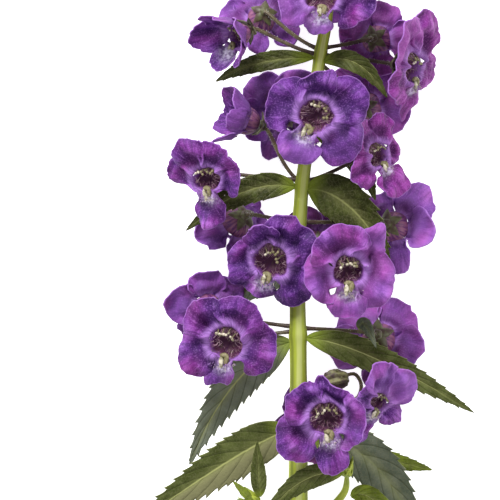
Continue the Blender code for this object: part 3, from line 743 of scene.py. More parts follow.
# Petals: scales of the veins across and along a lobe and their detail, scales of the other noise,
# shares of the clouds in the tone and of the grain in the relief, and how much lighter backs are
# painted, as painted light on them
PETAL_VEINS = (34.0, 2.2, 5.0)
PETAL_CLOUDS = 150.0
PETAL_GRAIN = 3000.0
LIP_GRAIN = 1500.0
CLOUD_SHARE = 0.4
GRAIN_RELIEF = 0.35
BACK_PAINTED_LIGHT = 0.3

# Lilac streaks from the rim: more of their reach at a lobe's sides and reach in its middle, how
# they fade over it, and how they follow the veins
RIM_REACH = (0.3, 0.14)
RIM_FADE = (0.2, 1.5, 0.85, 0.0)
RIM_STREAKS = (0.3, 0.6, 0.35, 1.0)
LIP_SPECKLE = (0.4, 0.6, 0.3, 1.0)


def petal_finish(name, petals, lip=True):
    """Velvety petal: fine veins fan out from a lilac rim, with painted shade in its hollows,
    painted highlight on its crests, and a thin pale line of painted highlight at the edge.
    """
    velvet = Finish(name, 0.6, Sheen_Weight=0.06, Sheen_Roughness=0.45, Specular_IOR_Level=0.2)
    velvet.shader.inputs["Sheen Tint"].default_value = (*petals.lilac, 1.0)
    across, along = velvet.across_and_along()
    side = velvet.from_middle(across)
    veins = velvet.streaks(*PETAL_VEINS)
    grain = velvet.grain(PETAL_GRAIN)
    pink = velvet.range(velvet.attribute("pink"), 0.0, 1.0)
    middle = velvet.mix(pink, petals.violet, petals.magenta)
    deep = velvet.mix(pink, petals.deep_violet, petals.deep_magenta)
    bright = velvet.mix(pink, petals.lilac, petals.bright_magenta)
    # Painted shade in the hollows and painted highlight on the crests, from the relief, broken by
    # soft clouds
    clouds = velvet.math("MULTIPLY", velvet.grain(PETAL_CLOUDS), CLOUD_SHARE)
    light = velvet.math("ADD", velvet.attribute("relief"), clouds)
    tone = velvet.layered(deep, PETAL_LAYERS, petals, light=light, veins=veins, grain=grain,
                          middle=middle, deep=deep, bright=bright)
    # Painted highlight on the lobes that face the light
    tone = velvet.mix(velvet.attribute("pale"), tone, bright)
    # Backs are painted lighter, as painted light on them
    if not lip:
        tone = velvet.mix(BACK_PAINTED_LIGHT, tone, bright)

    reach = velvet.math("MULTIPLY_ADD", side, *RIM_REACH)
    fade = velvet.range(velvet.math("DIVIDE", along, reach), *RIM_FADE)
    rim = velvet.math("MULTIPLY", fade, velvet.range(veins, *RIM_STREAKS))
    tone = velvet.mix(rim, tone, petals.rim)
    if lip:
        speckle = velvet.range(velvet.grain(LIP_GRAIN, 2.0), *LIP_SPECKLE)
        white = velvet.math("MULTIPLY", velvet.attribute("lip"), speckle)
        tone = velvet.mix(white, tone, petals.lip)
    # Thin pale line of painted highlight along the lobes' edges
    velvet.colour(velvet.layered(tone, PETAL_EDGE_HIGHLIGHTS, petals, side=side, along=along))
    relief = velvet.math("ADD", veins, velvet.math("MULTIPLY", grain, GRAIN_RELIEF))
    velvet.bump(relief, strength=0.7, distance=0.3)
    return velvet.material


def throat_finish(petals):
    """Inside of the cup: maroon with darker streaks, olive specks and a lilac rim."""
    inside = Finish("throat", 0.55)
    streaks = inside.streaks(60.0, 2.0)
    along = inside.across_and_along()[1]
    inside.colour(inside.layered(petals.throat, THROAT_LAYERS, petals, streaks=streaks,
                                 along=along, grain=inside.grain(900.0)))
    inside.bump(streaks, strength=0.6, distance=0.3)
    return inside.material


def pouch_finish(petals):
    """Outside of the cup: pinkish, with maroon veins."""
    pouch = Finish("pouch", 0.55)
    veins = pouch.streaks(50.0, 2.0)
    pouch.colour(pouch.layered(petals.pouch, POUCH_LAYERS, petals, veins=veins))
    pouch.bump(veins, strength=0.5, distance=0.2)
    return pouch.material


# Ends of the change from one colour of small soft patches to the other
SOFT_PATCHES = (0.35, 0.65)


def plain_finish(name, colour_a, colour_b, roughness, scale=700.0, relief=0.15, **constants):
    """Two colours in small soft patches, with a fine uneven surface."""
    made = Finish(name, roughness, **constants)
    grain = made.grain(scale)
    made.colour(made.mix(made.range(grain, *SOFT_PATCHES), colour_a, colour_b))
    made.bump(grain, strength=0.5, distance=relief)
    return made.material


# Leaves: scales of the patches, speckles and net, where the patches turn from one colour to the
# other, where the faded half ends, the half width of the midrib, width, strength and depth of the
# net, relief of the speckles, width of the side veins, their number, and how far they sweep back
LEAF_PATCHES = 380.0
LEAF_SPECKLE = 2600.0
NET_SCALE = 1300.0
PATCH_CHANGE = (0.35, 0.7)
FADED_HALF = (0.38, 0.56)
MIDRIB_WIDTH = (0.015, 0.07)
NET_WIDTH = (0.02, 0.16)
NET_STRENGTH = (0.4, 0.6, 0.05, 0.25)
NET_DEPTH = 0.35
SPECKLE_RELIEF = 0.4
VEIN_WIDTH = 0.2
SIDE_VEINS = 8.0
SIDE_VEIN_SWEEP = 1.9


def leaf_finish(name, leaves, dark, light, gloss, rib=0.8, fading=0.0):
    """Leaf: pale midrib, thin dark side veins, a fine net, and one half that may be faded."""
    blade = Finish(name, gloss, Specular_IOR_Level=0.07)
    across, along = blade.across_and_along()
    side = blade.from_middle(across)
    phase = blade.math("SUBTRACT", blade.math("MULTIPLY", along, SIDE_VEINS),
                       blade.math("MULTIPLY", side, SIDE_VEIN_SWEEP))
    vein = blade.math("PINGPONG", phase, 0.5)
    speckle = blade.grain(LEAF_SPECKLE, 2.0)
    cells = blade.node("ShaderNodeTexVoronoi",
                       {"Vector": blade.object_place(), "Scale": NET_SCALE},
                       feature="DISTANCE_TO_EDGE").outputs["Distance"]
    net = blade.range(cells, *NET_WIDTH, 1.0, 0.0)
    patches = blade.range(blade.grain(LEAF_PATCHES, 4.0), *PATCH_CHANGE)
    tone = blade.mix(patches, getattr(leaves, dark), getattr(leaves, light))
    tone = blade.mix(blade.range(across, *FADED_HALF, fading, 0.0), tone, leaves.net)
    tone = blade.mix(blade.math("MULTIPLY", net, blade.range(speckle, *NET_STRENGTH)), tone,
                     leaves.net)
    layers = (*LEAF_LAYERS, ("side", "midrib", *MIDRIB_WIDTH, rib, 0.0), *LEAF_EDGES)
    blade.colour(blade.layered(tone, layers, leaves, vein=vein, side=side, along=along))
    relief = blade.math("ADD", blade.range(vein, 0.0, VEIN_WIDTH),
                        blade.math("MULTIPLY", speckle, SPECKLE_RELIEF))
    relief = blade.math("SUBTRACT", relief, blade.math("MULTIPLY", net, NET_DEPTH))
    blade.bump(relief, strength=0.6, distance=0.15)
    return blade.material


# Stem: number of stripes and their turn round it, which keeps them ribs and grooves but puts a deep
# one down one side as painted shade, how far they wander, where along it painted shade darkens the
# stem and pales again and by how much, and the share of the cut end inside the rind
STEM_STRIPES = 3.0
# The turn puts a deep stripe down one side as painted shade
STRIPE_TURN = -0.1
STRIPE_WANDER = 0.08
STEM_SHADE = (0.2, 0.45, 0.0, 0.5)
STEM_LIGHT_AGAIN = (0.5, 0.65, 0.0, 0.4)
RIND = 0.78


def stem_finish(stem):
    """Broad pale stripes between deep green ones, one of them painted shade down one side, painted
    shade over its middle, and a pale end.
    """
    bark = Finish("stem_green", 0.45, Specular_IOR_Level=0.2)
    across, along = bark.across_and_along()
    wander = bark.math("MULTIPLY", bark.streaks(3.0, 14.0), STRIPE_WANDER)
    lane = bark.math("ADD", bark.math("ADD", across, wander), STRIPE_TURN)
    stripes = bark.math("PINGPONG", bark.math("MULTIPLY", lane, STEM_STRIPES), 0.5)
    fibres = bark.streaks(70.0, 6.0)
    tone = bark.layered(stem.deep_green, STRIPE_LAYERS, stem, stripes=stripes)
    # Painted shade over the stem's middle, fading again higher up
    shade = bark.math("SUBTRACT", bark.range(along, *STEM_SHADE),
                      bark.range(along, *STEM_LIGHT_AGAIN))
    tone = bark.mix(shade, tone, stem.deep_green)
    tone = bark.layered(tone, BARK_LAYERS, stem, fibres=fibres, grain=bark.grain(500.0))
    cut = 1 / (stem_steps() + 2)
    bark.colour(bark.mix(bark.range(along, cut * RIND, cut, 1.0, 0.0), tone, stem.pith))
    bark.bump(fibres, strength=0.5, distance=0.2)
    return bark.material


# Petals: columns and rows of a lobe on a bloom that faces up and on one that faces down, and
# rows of a cup
FRONT_GRID = (36, 20)
BACK_GRID = (22, 12)
CUP_ROWS = 9

# Outline of a lobe: its roundness, the sharpness of its point, the waves of its edge by depth,
# waves and place in the noise, and the finer waves of its fringe
LOBE_ROUNDNESS = 0.58
POINT_SHARPNESS = 3.6
EDGE_WAVES = ((0.9, 3, 0.0), (0.45, 7, 5.0))
FRINGE_WAVES = (17, 2.0)

# How a lobe widens over its neighbours, how high it lies over them at its edge, and where the
# gaps beside the lower lobe are
LOBE_SPREAD = 0.24
LOBE_HEIGHTS = (0.5, -0.6, -0.1, 0.7, -0.5)
OVERLAP_START = 5.4
OVERLAP_LENGTH = 2.2
GAPLESS_START = 4.0
GAP_MIDDLE = 5.9
GAP_LENGTH = 1.4
GAP_PINCH = 0.19
GAP_RAMP = 0.8

# How soon along a lobe it has turned, its crease is full and its relief has grown: one over the
# share of its length
TURN_QUICKNESS = 2.2
CREASE_QUICKNESS = 1.6
RELIEF_QUICKNESS = 3

# Reach of the pocket at a lobe's root and its depth on each lobe, width and reach of the seams
# between lobes, and the share of a lobe in which its rim rolls
POCKET_REACH = 0.6
POCKET_SHARES = (0.5, 0.9, 1.5, 1.5, 0.9)
SEAM_WIDTH = 0.22
SEAM_REACH = 0.7
RIM_SHARE = 0.16

# Waves of a lobe: how many there are round the flower, and strength and scales of the noise that
# makes or shifts them, with the place in the noise last where a kind has its own
PUCKERS = 1.3
RUFFLES_ROUND = 7
RUFFLE_WANDER = (1.5, 5)
FINE_RUFFLE = (0.6, 15, 3, 7.0)
FOLDS_ROUND = 10
FOLD_WANDER = (5, 1.3, 1.5, 11.0)
BILLOWS = (1.4, 0.3, 3.0)

# Relief over which a petal's tone runs from painted shade in the hollows to painted highlight on
# the crests, and the share of the waves that a bloom has when it faces sideways
RELIEF_RANGE = 2.6
SIDE_CALM = 0.4

# Rim and cup of the throat: how uneven the rim is and how finely, depth and number of the flutes
RIM_UNEVENNESS = (0.2, 1.2)
CUP_FLUTES = (0.04, 10)

# White root of the lower lobe: its distance from the throat's middle, width and length
LIP_DISTANCE = 5.2
LIP_WIDTH = 1.9
LIP_LENGTH = 1.2

# Strength and scale of the patches that make a bloom more or less magenta
PINK_PATCHES = (0.7, 0.22)

# Random changes of a form's values, by their place in a row: factors and what is added
FORM_FACTORS = {1: (0.85, 1.15), 2: (0.88, 1.06)}
FORM_SHIFTS = {0: (-8, 8), 3: (-8, 8), 4: (-10, 10), 5: (-0.4, 0.4), 7: (0, 0.8), 8: (-0.4, 0.4)}

# Painted highlight on the lobes that face the light: how much lighter each lobe of these blooms is
# painted
PAINTED_LIT_LOBES = {
    "upper_front": (0.3, 0.1, 0.0, 0.0, 0.0),
    "low_left": (0.1, 0.0, 0.0, 0.0, 0.0),
    "lower_front_right": (0.3, 0.3, 0.4, 0.1, 0.3),
    "top_front": (0.5, 0.0, 0.0, 0.0, 0.3),
    "top_right": (0.0, 0.0, 0.0, 0.3, 0.0),
    "base_front": (0.0, 0.1, 0.0, 0.0, 0.0),
    "middle_right_back": (0.0, 0.4, 0.0, 0.0, 0.4),
    "low_right_back": (0.0, 0.4, 0.3, 0.0, 0.0),
    "base_right": (0.0, 0.0, 0.5, 0.3, 0.0),
}
EVEN_LOBES = (0.0,) * LOBES

# Shift of the painted light and shade of these blooms: darker than the rest, or lighter where the
# value is below 0
BLOOM_SHADES = {
    "top_front": 0.2, "upper_front": 0.1, "lower_front_left": 0.14, "low_left": 0.13,
    "middle_left": 0.1, "top_left": 0.08, "middle_right_back": -0.16, "base_right": -0.12,
    "middle_left_back": -0.08, "low_right_back": -0.05,
}

# What a lobe's finish reads at each corner: its painted light where it faces the light, the lip,
# its relief, from which the finish paints shade in hollows and highlight on crests, and its magenta
PETAL_ATTRIBUTES = ("pale", "lip", "relief", "pink")


def even_across(u):
    """Place across a lobe from 1 to -1, with its columns closest at the lobe's sides."""
    return math.sin(math.pi / 2 * (1 - 2 * u))


def gap_beside(lobe, across, gaps):
    """How wide the gap is on this side of the lobe."""
    left, right = gaps
    if lobe == LOWER_LOBE:
        return left if across < 0 else right
    if lobe == 1 and across < 0:
        return right
    if lobe == LOBES - 1 and across > 0:
        return left
    return 0.0


def lobe_outline(petals, row, throat, seed, lobe, across):
    """Distance from the flower's middle to the lobe's edge, and to the throat's rim."""
    _turn, _width, reach_share, _bend, _curl, _tilt, _crease, tip, tip_place = row
    notches = NOTCH_REACHES[lobe], NOTCH_REACHES[(lobe + 1) % LOBES]
    notch = blend(*notches, (across + 1) / 2)
    angle = math.radians(LOBE_MIDDLES[lobe] + across * LOBE_HALF_WIDTHS[lobe])
    side = abs(across)
    swell = math.cos(side * math.pi / 2) ** LOBE_ROUNDNESS if side < 1 else 0.0
    full = blend(notch, petals.lobe_reach * reach_share, swell)
    full += tip * swell * math.exp(-((across - tip_place) * POINT_SHARPNESS) ** 2)
    full += swell * sum(depth * rough(angle * waves, place, seed)
                        for depth, waves, place in EDGE_WAVES)
    waves, place = FRINGE_WAVES
    full += petals.fringe * swell * rough(angle * waves, place, seed)
    return full, rim_radius(petals, throat, angle, seed)


def lobe_point(petals, row, openings, seed, lobe, across, share):
    """Point of a lobe and its small relief: across runs from -1 to 1 between its notches.

    The openings are the throat, the gaps and how much of the waves a bloom has: those that
    face sideways have fewer.
    """
    turn, width, _reach_share, bend, curl, tilt, crease, _tip, _tip_place = row
    side = abs(across)
    throat, gaps, calm = openings
    full, rim = lobe_outline(petals, row, throat, seed, lobe, across)
    stretch = full - rim
    distance = rim + stretch * share
    gap = gap_beside(lobe, across, gaps) * math.exp(-((distance - GAP_MIDDLE) / GAP_LENGTH) ** 2)
    start = OVERLAP_START if gap else GAPLESS_START
    widening = (width - 1 + LOBE_SPREAD) * smooth((distance - start) / OVERLAP_LENGTH)
    gap *= GAP_PINCH * side ** 2 * smooth((distance - rim) / GAP_RAMP)
    half = LOBE_HALF_WIDTHS[lobe] * (1 + widening - gap)
    angle = math.radians(LOBE_MIDDLES[lobe] + turn * smooth(share * TURN_QUICKNESS) + across * half)

    slope = math.radians(bend) + math.radians(curl) * share / 2
    reach = rim + stretch * share * math.cos(slope)
    x = reach * math.sin(angle)
    y = -reach * math.cos(angle)
    grown = min(share * RELIEF_QUICKNESS, 1.0)
    seam = petals.seam * math.exp(-((1 - side) / SEAM_WIDTH) ** 2)
    pocket = petals.pocket * POCKET_SHARES[lobe] * (1 - side ** 2)
    relief = petals.billow * billow(x, y, seed) * grown * calm
    relief += petals.fold * fold_wave(angle, share, seed) * share * (1 - share / 2) * calm
    relief += seam * (1 - smooth(share / SEAM_REACH))
    relief -= pocket * math.sin(math.pi * min(share / POCKET_REACH, 1.0))
    relief += petals.pucker * rough(x * PUCKERS, y * PUCKERS, seed) * grown

    height = relief + stretch * share * math.sin(slope) - petals.lobe_arch * share * side ** 2
    folded = crease * side * smooth(share * CREASE_QUICKNESS)
    height += (LOBE_HEIGHTS[lobe] + tilt * across) * share - folded
    height -= petals.rim_roll * (1 - min(share / RIM_SHARE, 1.0)) ** 2
    wander, waves = RUFFLE_WANDER
    wave = math.sin(RUFFLES_ROUND * angle + seed + lobe)
    wave += wander * rough(angle * waves, share, seed)
    height += petals.ruffle * share ** 3 * wave * calm
    fine, around, along, place = FINE_RUFFLE
    fringe = rough(angle * around, share * along, seed + place)
    height += fine * petals.ruffle * share ** 6 * fringe
    return Vector((x, y, height)), relief


def fold_wave(angle, share, seed):
    """Folds that run out from the throat, between -1 and 1."""
    wander, around, along, place = FOLD_WANDER
    return math.sin(FOLDS_ROUND * angle
                    + wander * rough(angle * around, share * along, seed + place))


def rim_radius(petals, throat, angle, seed):
    """Radius of the throat's uneven rim in one direction."""
    share, press = throat
    depth, scale = RIM_UNEVENNESS
    uneven = rough(math.sin(angle) * scale, math.cos(angle) * scale, seed)
    pressed = 1 - press * ((1 - math.cos(angle)) / 2) ** 2
    return petals.throat_radius * share * pressed * (1 + depth * uneven)


def billow(x, y, seed):
    """Broad swells over the lobes, between about -1 and 1."""
    height, scale, place = BILLOWS
    return height * rough(x * scale, y * scale, seed + place)


def cup_point(petals, throat, angle, climb, seed):
    """Point of the cup: climb runs from 0 at its bottom to 1 at its rim."""
    turn = climb * math.pi / 2
    reach = rim_radius(petals, throat, angle, seed) * math.sin(turn)
    behind = petals.cup_depth - petals.rim_roll
    depth, flutes = CUP_FLUTES
    flute = 1 - depth * math.cos(flutes * angle) * math.sin(math.pi * climb)
    return Vector((reach * math.sin(angle) * flute, -reach * math.cos(angle) * flute,
                   -petals.rim_roll - behind * math.cos(turn)))


def rim_angle(place):
    """Angle on the rim for a place that counts the lobes from the lower lobe's first edge."""
    lobe = int(place) % LOBES
    across = -even_across(place % 1)
    return math.radians(LOBE_MIDDLES[lobe] + across * LOBE_HALF_WIDTHS[lobe])


def flower_frame(centre, facing, down_angle):
    """Matrix whose +Z looks out of the flower and whose -Y points to the lower lobe."""
    out = Vector(facing).normalized()
    turn = math.radians(down_angle)
    down = Vector((math.cos(turn), math.sin(turn), 0.0))
    down = (down - out * down.dot(out)).normalized()
    right = out.cross(down)
    turned = Matrix((right, -down, out)).transposed().to_4x4()
    return Matrix.Translation(centre) @ turned


def frame_of(flower, down_angle):
    """Frame of a bloom or bud in the spike."""
    return flower_frame(from_view(*flower.pixel, flower.height), flower.facing, down_angle)


def bloom_seed(bloom):
    """Number that gives each bloom waves of its own."""
    return float(len(bloom.name) * 3 + sum(bloom.pixel) % 17)


def varied(form, name):
    """The form with a small random change to each lobe, unless it was shaped for one bloom."""
    if form in SHAPED:
        return form
    chance = random.Random(name)
    lobes = []
    for row in form:
        lobe = []
        for place, value in enumerate(row):
            if place in FORM_FACTORS:
                value *= chance.uniform(*FORM_FACTORS[place])
            elif place in FORM_SHIFTS:
                value += chance.uniform(*FORM_SHIFTS[place])
            lobe.append(value)
        lobes.append(lobe)
    return lobes


def make_corolla(petals, bloom, finishes):
    name = bloom.name
    throat = THROATS.get(name, USUAL_THROAT)
    calm = blend(SIDE_CALM, 1.0, abs(Vector(bloom.facing).normalized().z))
    openings = throat, GAPS.get(name, USUAL_GAPS), calm
    columns, rows = FRONT_GRID if bloom.facing[2] > 0 else BACK_GRID
    place = frame_of(bloom, bloom.down_angle)
    scale = bloom.size * MM
    seed = bloom_seed(bloom)
    shape = bmesh.new()
    layers = shape.verts.layers.float
    for key in PETAL_ATTRIBUTES:
        layers.new(key)
    pale, lip, relief, magenta = (layers[key] for key in PETAL_ATTRIBUTES)
    lobe_painted_light = PAINTED_LIT_LOBES.get(name, EVEN_LOBES)
    strength, patches = PINK_PATCHES
    for lobe, row in enumerate(varied(bloom.form, name)):
        def lobe_corner(u, v, lobe=lobe, row=row):
            spot, _height = lobe_point(petals, row, openings, seed, lobe, even_across(u), v)
            return above_table(place @ (spot * scale), petals.thickness)

        def mark(vertex, u, v, lobe=lobe, row=row):
            spot, height = lobe_point(petals, row, openings, seed, lobe, even_across(u), v)
            # Painted light of a lobe that faces the light
            vertex[pale] = lobe_painted_light[lobe]
            vertex[lip] = math.exp(-(spot.x / LIP_WIDTH) ** 2
                                   - ((spot.y + LIP_DISTANCE) / LIP_LENGTH) ** 2)
            # Painted shade in hollows and painted highlight on crests, from the height of the
            # relief
            vertex[relief] = 0.5 + height / RELIEF_RANGE - BLOOM_SHADES.get(name, 0.0)
            vertex[magenta] = bloom.pink + strength * rough(
                spot.x * patches, spot.y * patches, seed)

        patch(shape, columns, rows, lobe_corner, 0, mark)

    def cup_corner(u, v):
        angle = rim_angle(LOBES * (1 - u) if u else 0.0)
        spot = place @ (cup_point(petals, throat, angle, v, seed) * scale)
        return above_table(spot, petals.thickness)

    patch(shape, columns * LOBES, CUP_ROWS, cup_corner, 1)
    piece = add_piece("petals_" + name, shape, finishes, ["bloom_" + name], closed=False)
    thicken(piece, petals.thickness, backs=2)


class SPIKE_OT_blooms(bpy.types.Operator):
    """Corolla of every bloom: a cup that opens into five ruffled lobes"""
    bl_idname = "spike.blooms"
    bl_label = "Blooms"

    def execute(self, context):
        petals = context.scene.spike_petals
        finishes = (petal_finish("petal_face", petals), throat_finish(petals),
                    petal_finish("petal_back", petals, lip=False), pouch_finish(petals))
        for bloom in BLOOMS:
            make_corolla(petals, bloom, finishes)
        return {"FINISHED"}


# Hairs of the cup: number, length, radius, spread in radians of those on its upper side, how high
# they stand on its wall, how far they rise, sway and bend, and how deep they root. Then those of
# the lip, with their places below the throat's middle, lean, sway and droop.
THROAT_HAIRS = 170
HAIR_LENGTH = (1.0, 2.4)
HAIR_RADIUS = 0.08
HAIR_SPREAD = 0.7
HAIR_CLIMB = (0.35, 0.95)
HAIR_RISE = (0.4, 3.4)
HAIR_SWAY = ((-1, 1), (-1, 1), (-0.3, 0.8))
HAIR_BEND = 0.6
HAIR_ROOTING = 0.2
FUZZ_HAIRS = 46
FUZZ_LENGTH = (0.5, 1.1)
FUZZ_SPREAD = 1.1
FUZZ_PLACE = (-5.6, -4.0)
FUZZ_LEAN = ((-0.6, 0.6), (-0.6, 0.3))
FUZZ_ROOTING = 0.3
FUZZ_SWAY = 0.3
FUZZ_DROOP = 0.2

# Corners round any hair, one over the share of its length in which it widens, and the power with
# which it tapers
STRAND_SIDES = 3
STRAND_FOOT = 9
STRAND_TAPER = 0.6

# Stamens: places, half widths, chance changes and rings of the anthers, how far apart their two
# sacs are, and the foot, steps, bow, radius and corners of the stalks that carry them
ANTHERS = ((-1.5, 1.7, 0.2), (-0.4, 2.2, 0.0), (0.8, 2.1, 0.1), (1.7, 1.3, 0.2))
ANTHER_SIZE = (0.36, 0.3, 0.28)
ANTHER_SHIFT = ((-0.4, 0.4), (-0.6, 0.3))
ANTHER_TURN = 1.3
ANTHER_VARIATION = (0.85, 1.15)
ANTHER_RINGS = 8
SAC_PLACE = 0.34
STAMEN_FOOT = (1.4, 1.5, -1.8)
STAMEN_STEPS = 4
STAMEN_BOW = 0.5
STAMEN_RADIUS = 0.12
STAMEN_SIDES = 6

# How many of a bloom's anthers are cream, where it isn't the usual number
BRIGHT_ANTHERS = {"lower_front_right": 3, "low_left": 4, "base_front": 2}
USUAL_BRIGHT = 1

# Parts of the tooth: middle, half widths and turn in degrees, chance change of the turn, rings, and
# depth and scale of their dents
CREAM_PRONG = ((-0.45, -4.15, 0.2), (0.52, 1.2, 0.42), 6)
OLIVE_PRONGS = (
    ((0.6, -3.6, 0.05), (0.55, 1.1, 0.45), -8),
    ((0.0, -2.8, -0.3), (0.95, 0.6, 0.5), 0),
)
PRONG_TURN = 8
PRONG_RINGS = 10
DENTS = (0.35, 2)

# Places of the throat's finishes
HAIR, FUZZ, CREAM, TOOTH, OLIVE = range(5)


def strand_rows(hairs, radius):
    """Place for each corner of a bunch of hairs, each given by three points of its curve."""
    directions = []
    for root, _bend, tip in hairs:
        ahead = (tip - root).normalized()
        side = ahead.orthogonal()
        directions.append((side, ahead.cross(side)))

    def point(number, around, along):
        root, bend, tip = hairs[number]
        side, up = directions[number]
        turn = 2 * math.pi * around
        wide = radius * min(along * STRAND_FOOT, 1.0) * (1 - along) ** STRAND_TAPER
        middle = root.lerp(bend, along).lerp(bend.lerp(tip, along), along)
        return middle + (side * math.cos(turn) + up * math.sin(turn)) * wide

    return point


def drawn(chance, ranges):
    """Random number from each of the ranges."""
    return [chance.uniform(*limits) for limits in ranges]


def throat_hairs(petals, throat, chance, seed):
    """Tangled hairs that stand on the wall of the cup and lean into it, in flower millimetres."""
    hairs = []
    for _hair in range(THROAT_HAIRS):
        angle = chance.choice((chance.uniform(0, 2 * math.pi), chance.gauss(math.pi, HAIR_SPREAD)))
        root = cup_point(petals, throat, angle, chance.uniform(*HAIR_CLIMB), seed)
        inward = Vector((-root.x, -root.y, chance.uniform(*HAIR_RISE))).normalized()
        sideways = Vector(drawn(chance, HAIR_SWAY))
        reach = chance.uniform(*HAIR_LENGTH)
        bend = root + inward * reach * HAIR_BEND
        hairs.append((root - inward * HAIR_ROOTING, bend, bend + sideways * reach * HAIR_BEND))
    return hairs


def lip_fuzz(chance):
    """Short pale hairs at the foot of the tooth, on the root of the lower lobe."""
    hairs = []
    for _hair in range(FUZZ_HAIRS):
        root = Vector((chance.gauss(0, FUZZ_SPREAD), chance.uniform(*FUZZ_PLACE), 0.0))
        lean = Vector((*drawn(chance, FUZZ_LEAN), 1.0)).normalized()
        reach = chance.uniform(*FUZZ_LENGTH)
        sway = Vector((chance.uniform(-FUZZ_SWAY, FUZZ_SWAY), -FUZZ_DROOP, 0.0))
        hairs.append((root - lean * FUZZ_ROOTING, root + lean * reach * HAIR_BEND,
                      root + lean * reach + sway))
    return hairs


def placed(hairs, place, scale):
    return [[place @ (point * scale) for point in hair] for hair in hairs]


def dented(out):
    depth, scale = DENTS
    return 1 + depth * rough(out.x * scale, out.y * scale, out.z * scale)


def make_throat(petals, bloom, finishes):
    name, size = bloom.name, bloom.size
    place = frame_of(bloom, bloom.down_angle)
    turned = place.to_3x3()
    chance = random.Random(name)
    scale = size * MM
    shape = bmesh.new()
    throat = THROATS.get(name, USUAL_THROAT)
    hairs = placed(throat_hairs(petals, throat, chance, bloom_seed(bloom)), place, scale)
    strands(shape, len(hairs), STRAND_SIDES, 4, strand_rows(hairs, HAIR_RADIUS * scale), HAIR)
    fuzz = placed(lip_fuzz(chance), place, scale)
    strands(shape, len(fuzz), STRAND_SIDES, 3, strand_rows(fuzz, HAIR_RADIUS * scale), FUZZ)
    bright = BRIGHT_ANTHERS.get(name, USUAL_BRIGHT)
    share, press = throat
    for number, (x, y, z) in enumerate(ANTHERS):
        y *= share - press
        shift_x, shift_y = drawn(chance, ANTHER_SHIFT)
        middle = Vector((x + shift_x, y + shift_y, z))
        lean = turned @ Matrix.Rotation(chance.uniform(-ANTHER_TURN, ANTHER_TURN), 3, "Z")
        half = [a * size * chance.uniform(*ANTHER_VARIATION) for a in ANTHER_SIZE]
        for side in (-SAC_PLACE, SAC_PLACE):
            sac = place @ (middle * scale) + lean @ Vector((side * scale, 0, 0))
            lump(shape, sac, half, lean, ANTHER_RINGS, dented, CREAM if number < bright else OLIVE)
        foot = Vector((x * STAMEN_FOOT[0], y * STAMEN_FOOT[1], STAMEN_FOOT[2]))
        stalk = []
        for step in range(STAMEN_STEPS + 1):
            along = step / STAMEN_STEPS
            bow = Vector((0, STAMEN_BOW, 0)) * math.sin(math.pi * along)
            stalk.append(place @ ((foot.lerp(middle, along) + bow) * scale))
        tube(shape, stalk, [STAMEN_RADIUS * size] * len(stalk), STAMEN_SIDES, OLIVE)
    for finish, prongs in ((TOOTH, (CREAM_PRONG,)), (OLIVE, OLIVE_PRONGS)):
        for middle, half, turn in prongs:
            turn = math.radians(turn + chance.uniform(-PRONG_TURN, PRONG_TURN))
            lump(shape, place @ (Vector(middle) * scale), [a * size for a in half],
                 turned @ Matrix.Rotation(turn, 3, "Z"), PRONG_RINGS, dented, finish)
    add_piece("throat_" + name, shape, finishes)


class SPIKE_OT_throats(bpy.types.Operator):
    """Hairs, anthers and cream tooth in the throat of every bloom"""
    bl_idname = "spike.throats"
    bl_label = "Throats"

    def execute(self, context):
        petals = context.scene.spike_petals
        finishes = (
            plain_finish("throat_hair", petals.hair, petals.pouch, 0.5),
            plain_finish("lip_fuzz", petals.tooth, petals.lilac, 0.6),
            plain_finish("anther", petals.anther, petals.olive, 0.5, scale=1500.0),
            plain_finish("tooth", petals.tooth, petals.olive, 0.45, scale=1100.0),
            plain_finish("tooth_olive", petals.olive, petals.dull_cream, 0.6, scale=1400.0),
        )
        for bloom in BLOOMS:
            make_throat(petals, bloom, finishes)
        return {"FINISHED"}


# Calyx: size and thickness of a sepal and how it narrows and cups, its grid, flutes, size and
# rings of the cup that they stand on, and the size, reach and lift of a bud's sepals
SEPAL_WIDTH = 0.8
SEPAL_FOOT = 0.75
SEPAL_FULLNESS = 0.8
SEPAL_CUPPING = 0.35
SEPAL_THICKNESS = 0.25
SEPAL_GRID = (6, 12)
CUP_FLUTING = (0.06, 5)
CUP_SIZE = (1.25, 1.25, 0.9)
CUP_RINGS = 10
BUD_CALYX = 0.12
BUD_SEPALS = (3.0, 4.6)


def sepals(shape, place, size, reach, lift):
    """Five pointed sepals that stand between the lobes and curve forward round the cup."""
    for number in range(LOBES):
        turn = Matrix.Rotation(math.pi * (2 * number + 1) / LOBES, 4, "Z")

        def point(u, v, turn=turn):
            across = 1 - 2 * u
            full = SEPAL_FOOT * (1 - v) + math.sin(math.pi * v ** SEPAL_FULLNESS)
            wide = SEPAL_WIDTH * full * (v < 1)
            rise = lift * v ** 2 + SEPAL_CUPPING * wide * across ** 2
            return place @ turn @ (Vector((across * wide, -reach * v, rise)) * size * MM)

        patch(shape, *SEPAL_GRID, point)


def fluted(out):
    """Shallow flutes round the calyx's cup."""
    depth, count = CUP_FLUTING
    return 1 + depth * math.cos(count * math.atan2(out.y, out.x))


def calyx_frame(bloom):
    """Frame of the flower moved to the middle of its calyx."""
    back = (CUP_SETBACK * bloom.size + CALYX_SETBACK) * MM
    return frame_of(bloom, bloom.down_angle) @ Matrix.Translation((0, 0, -back))


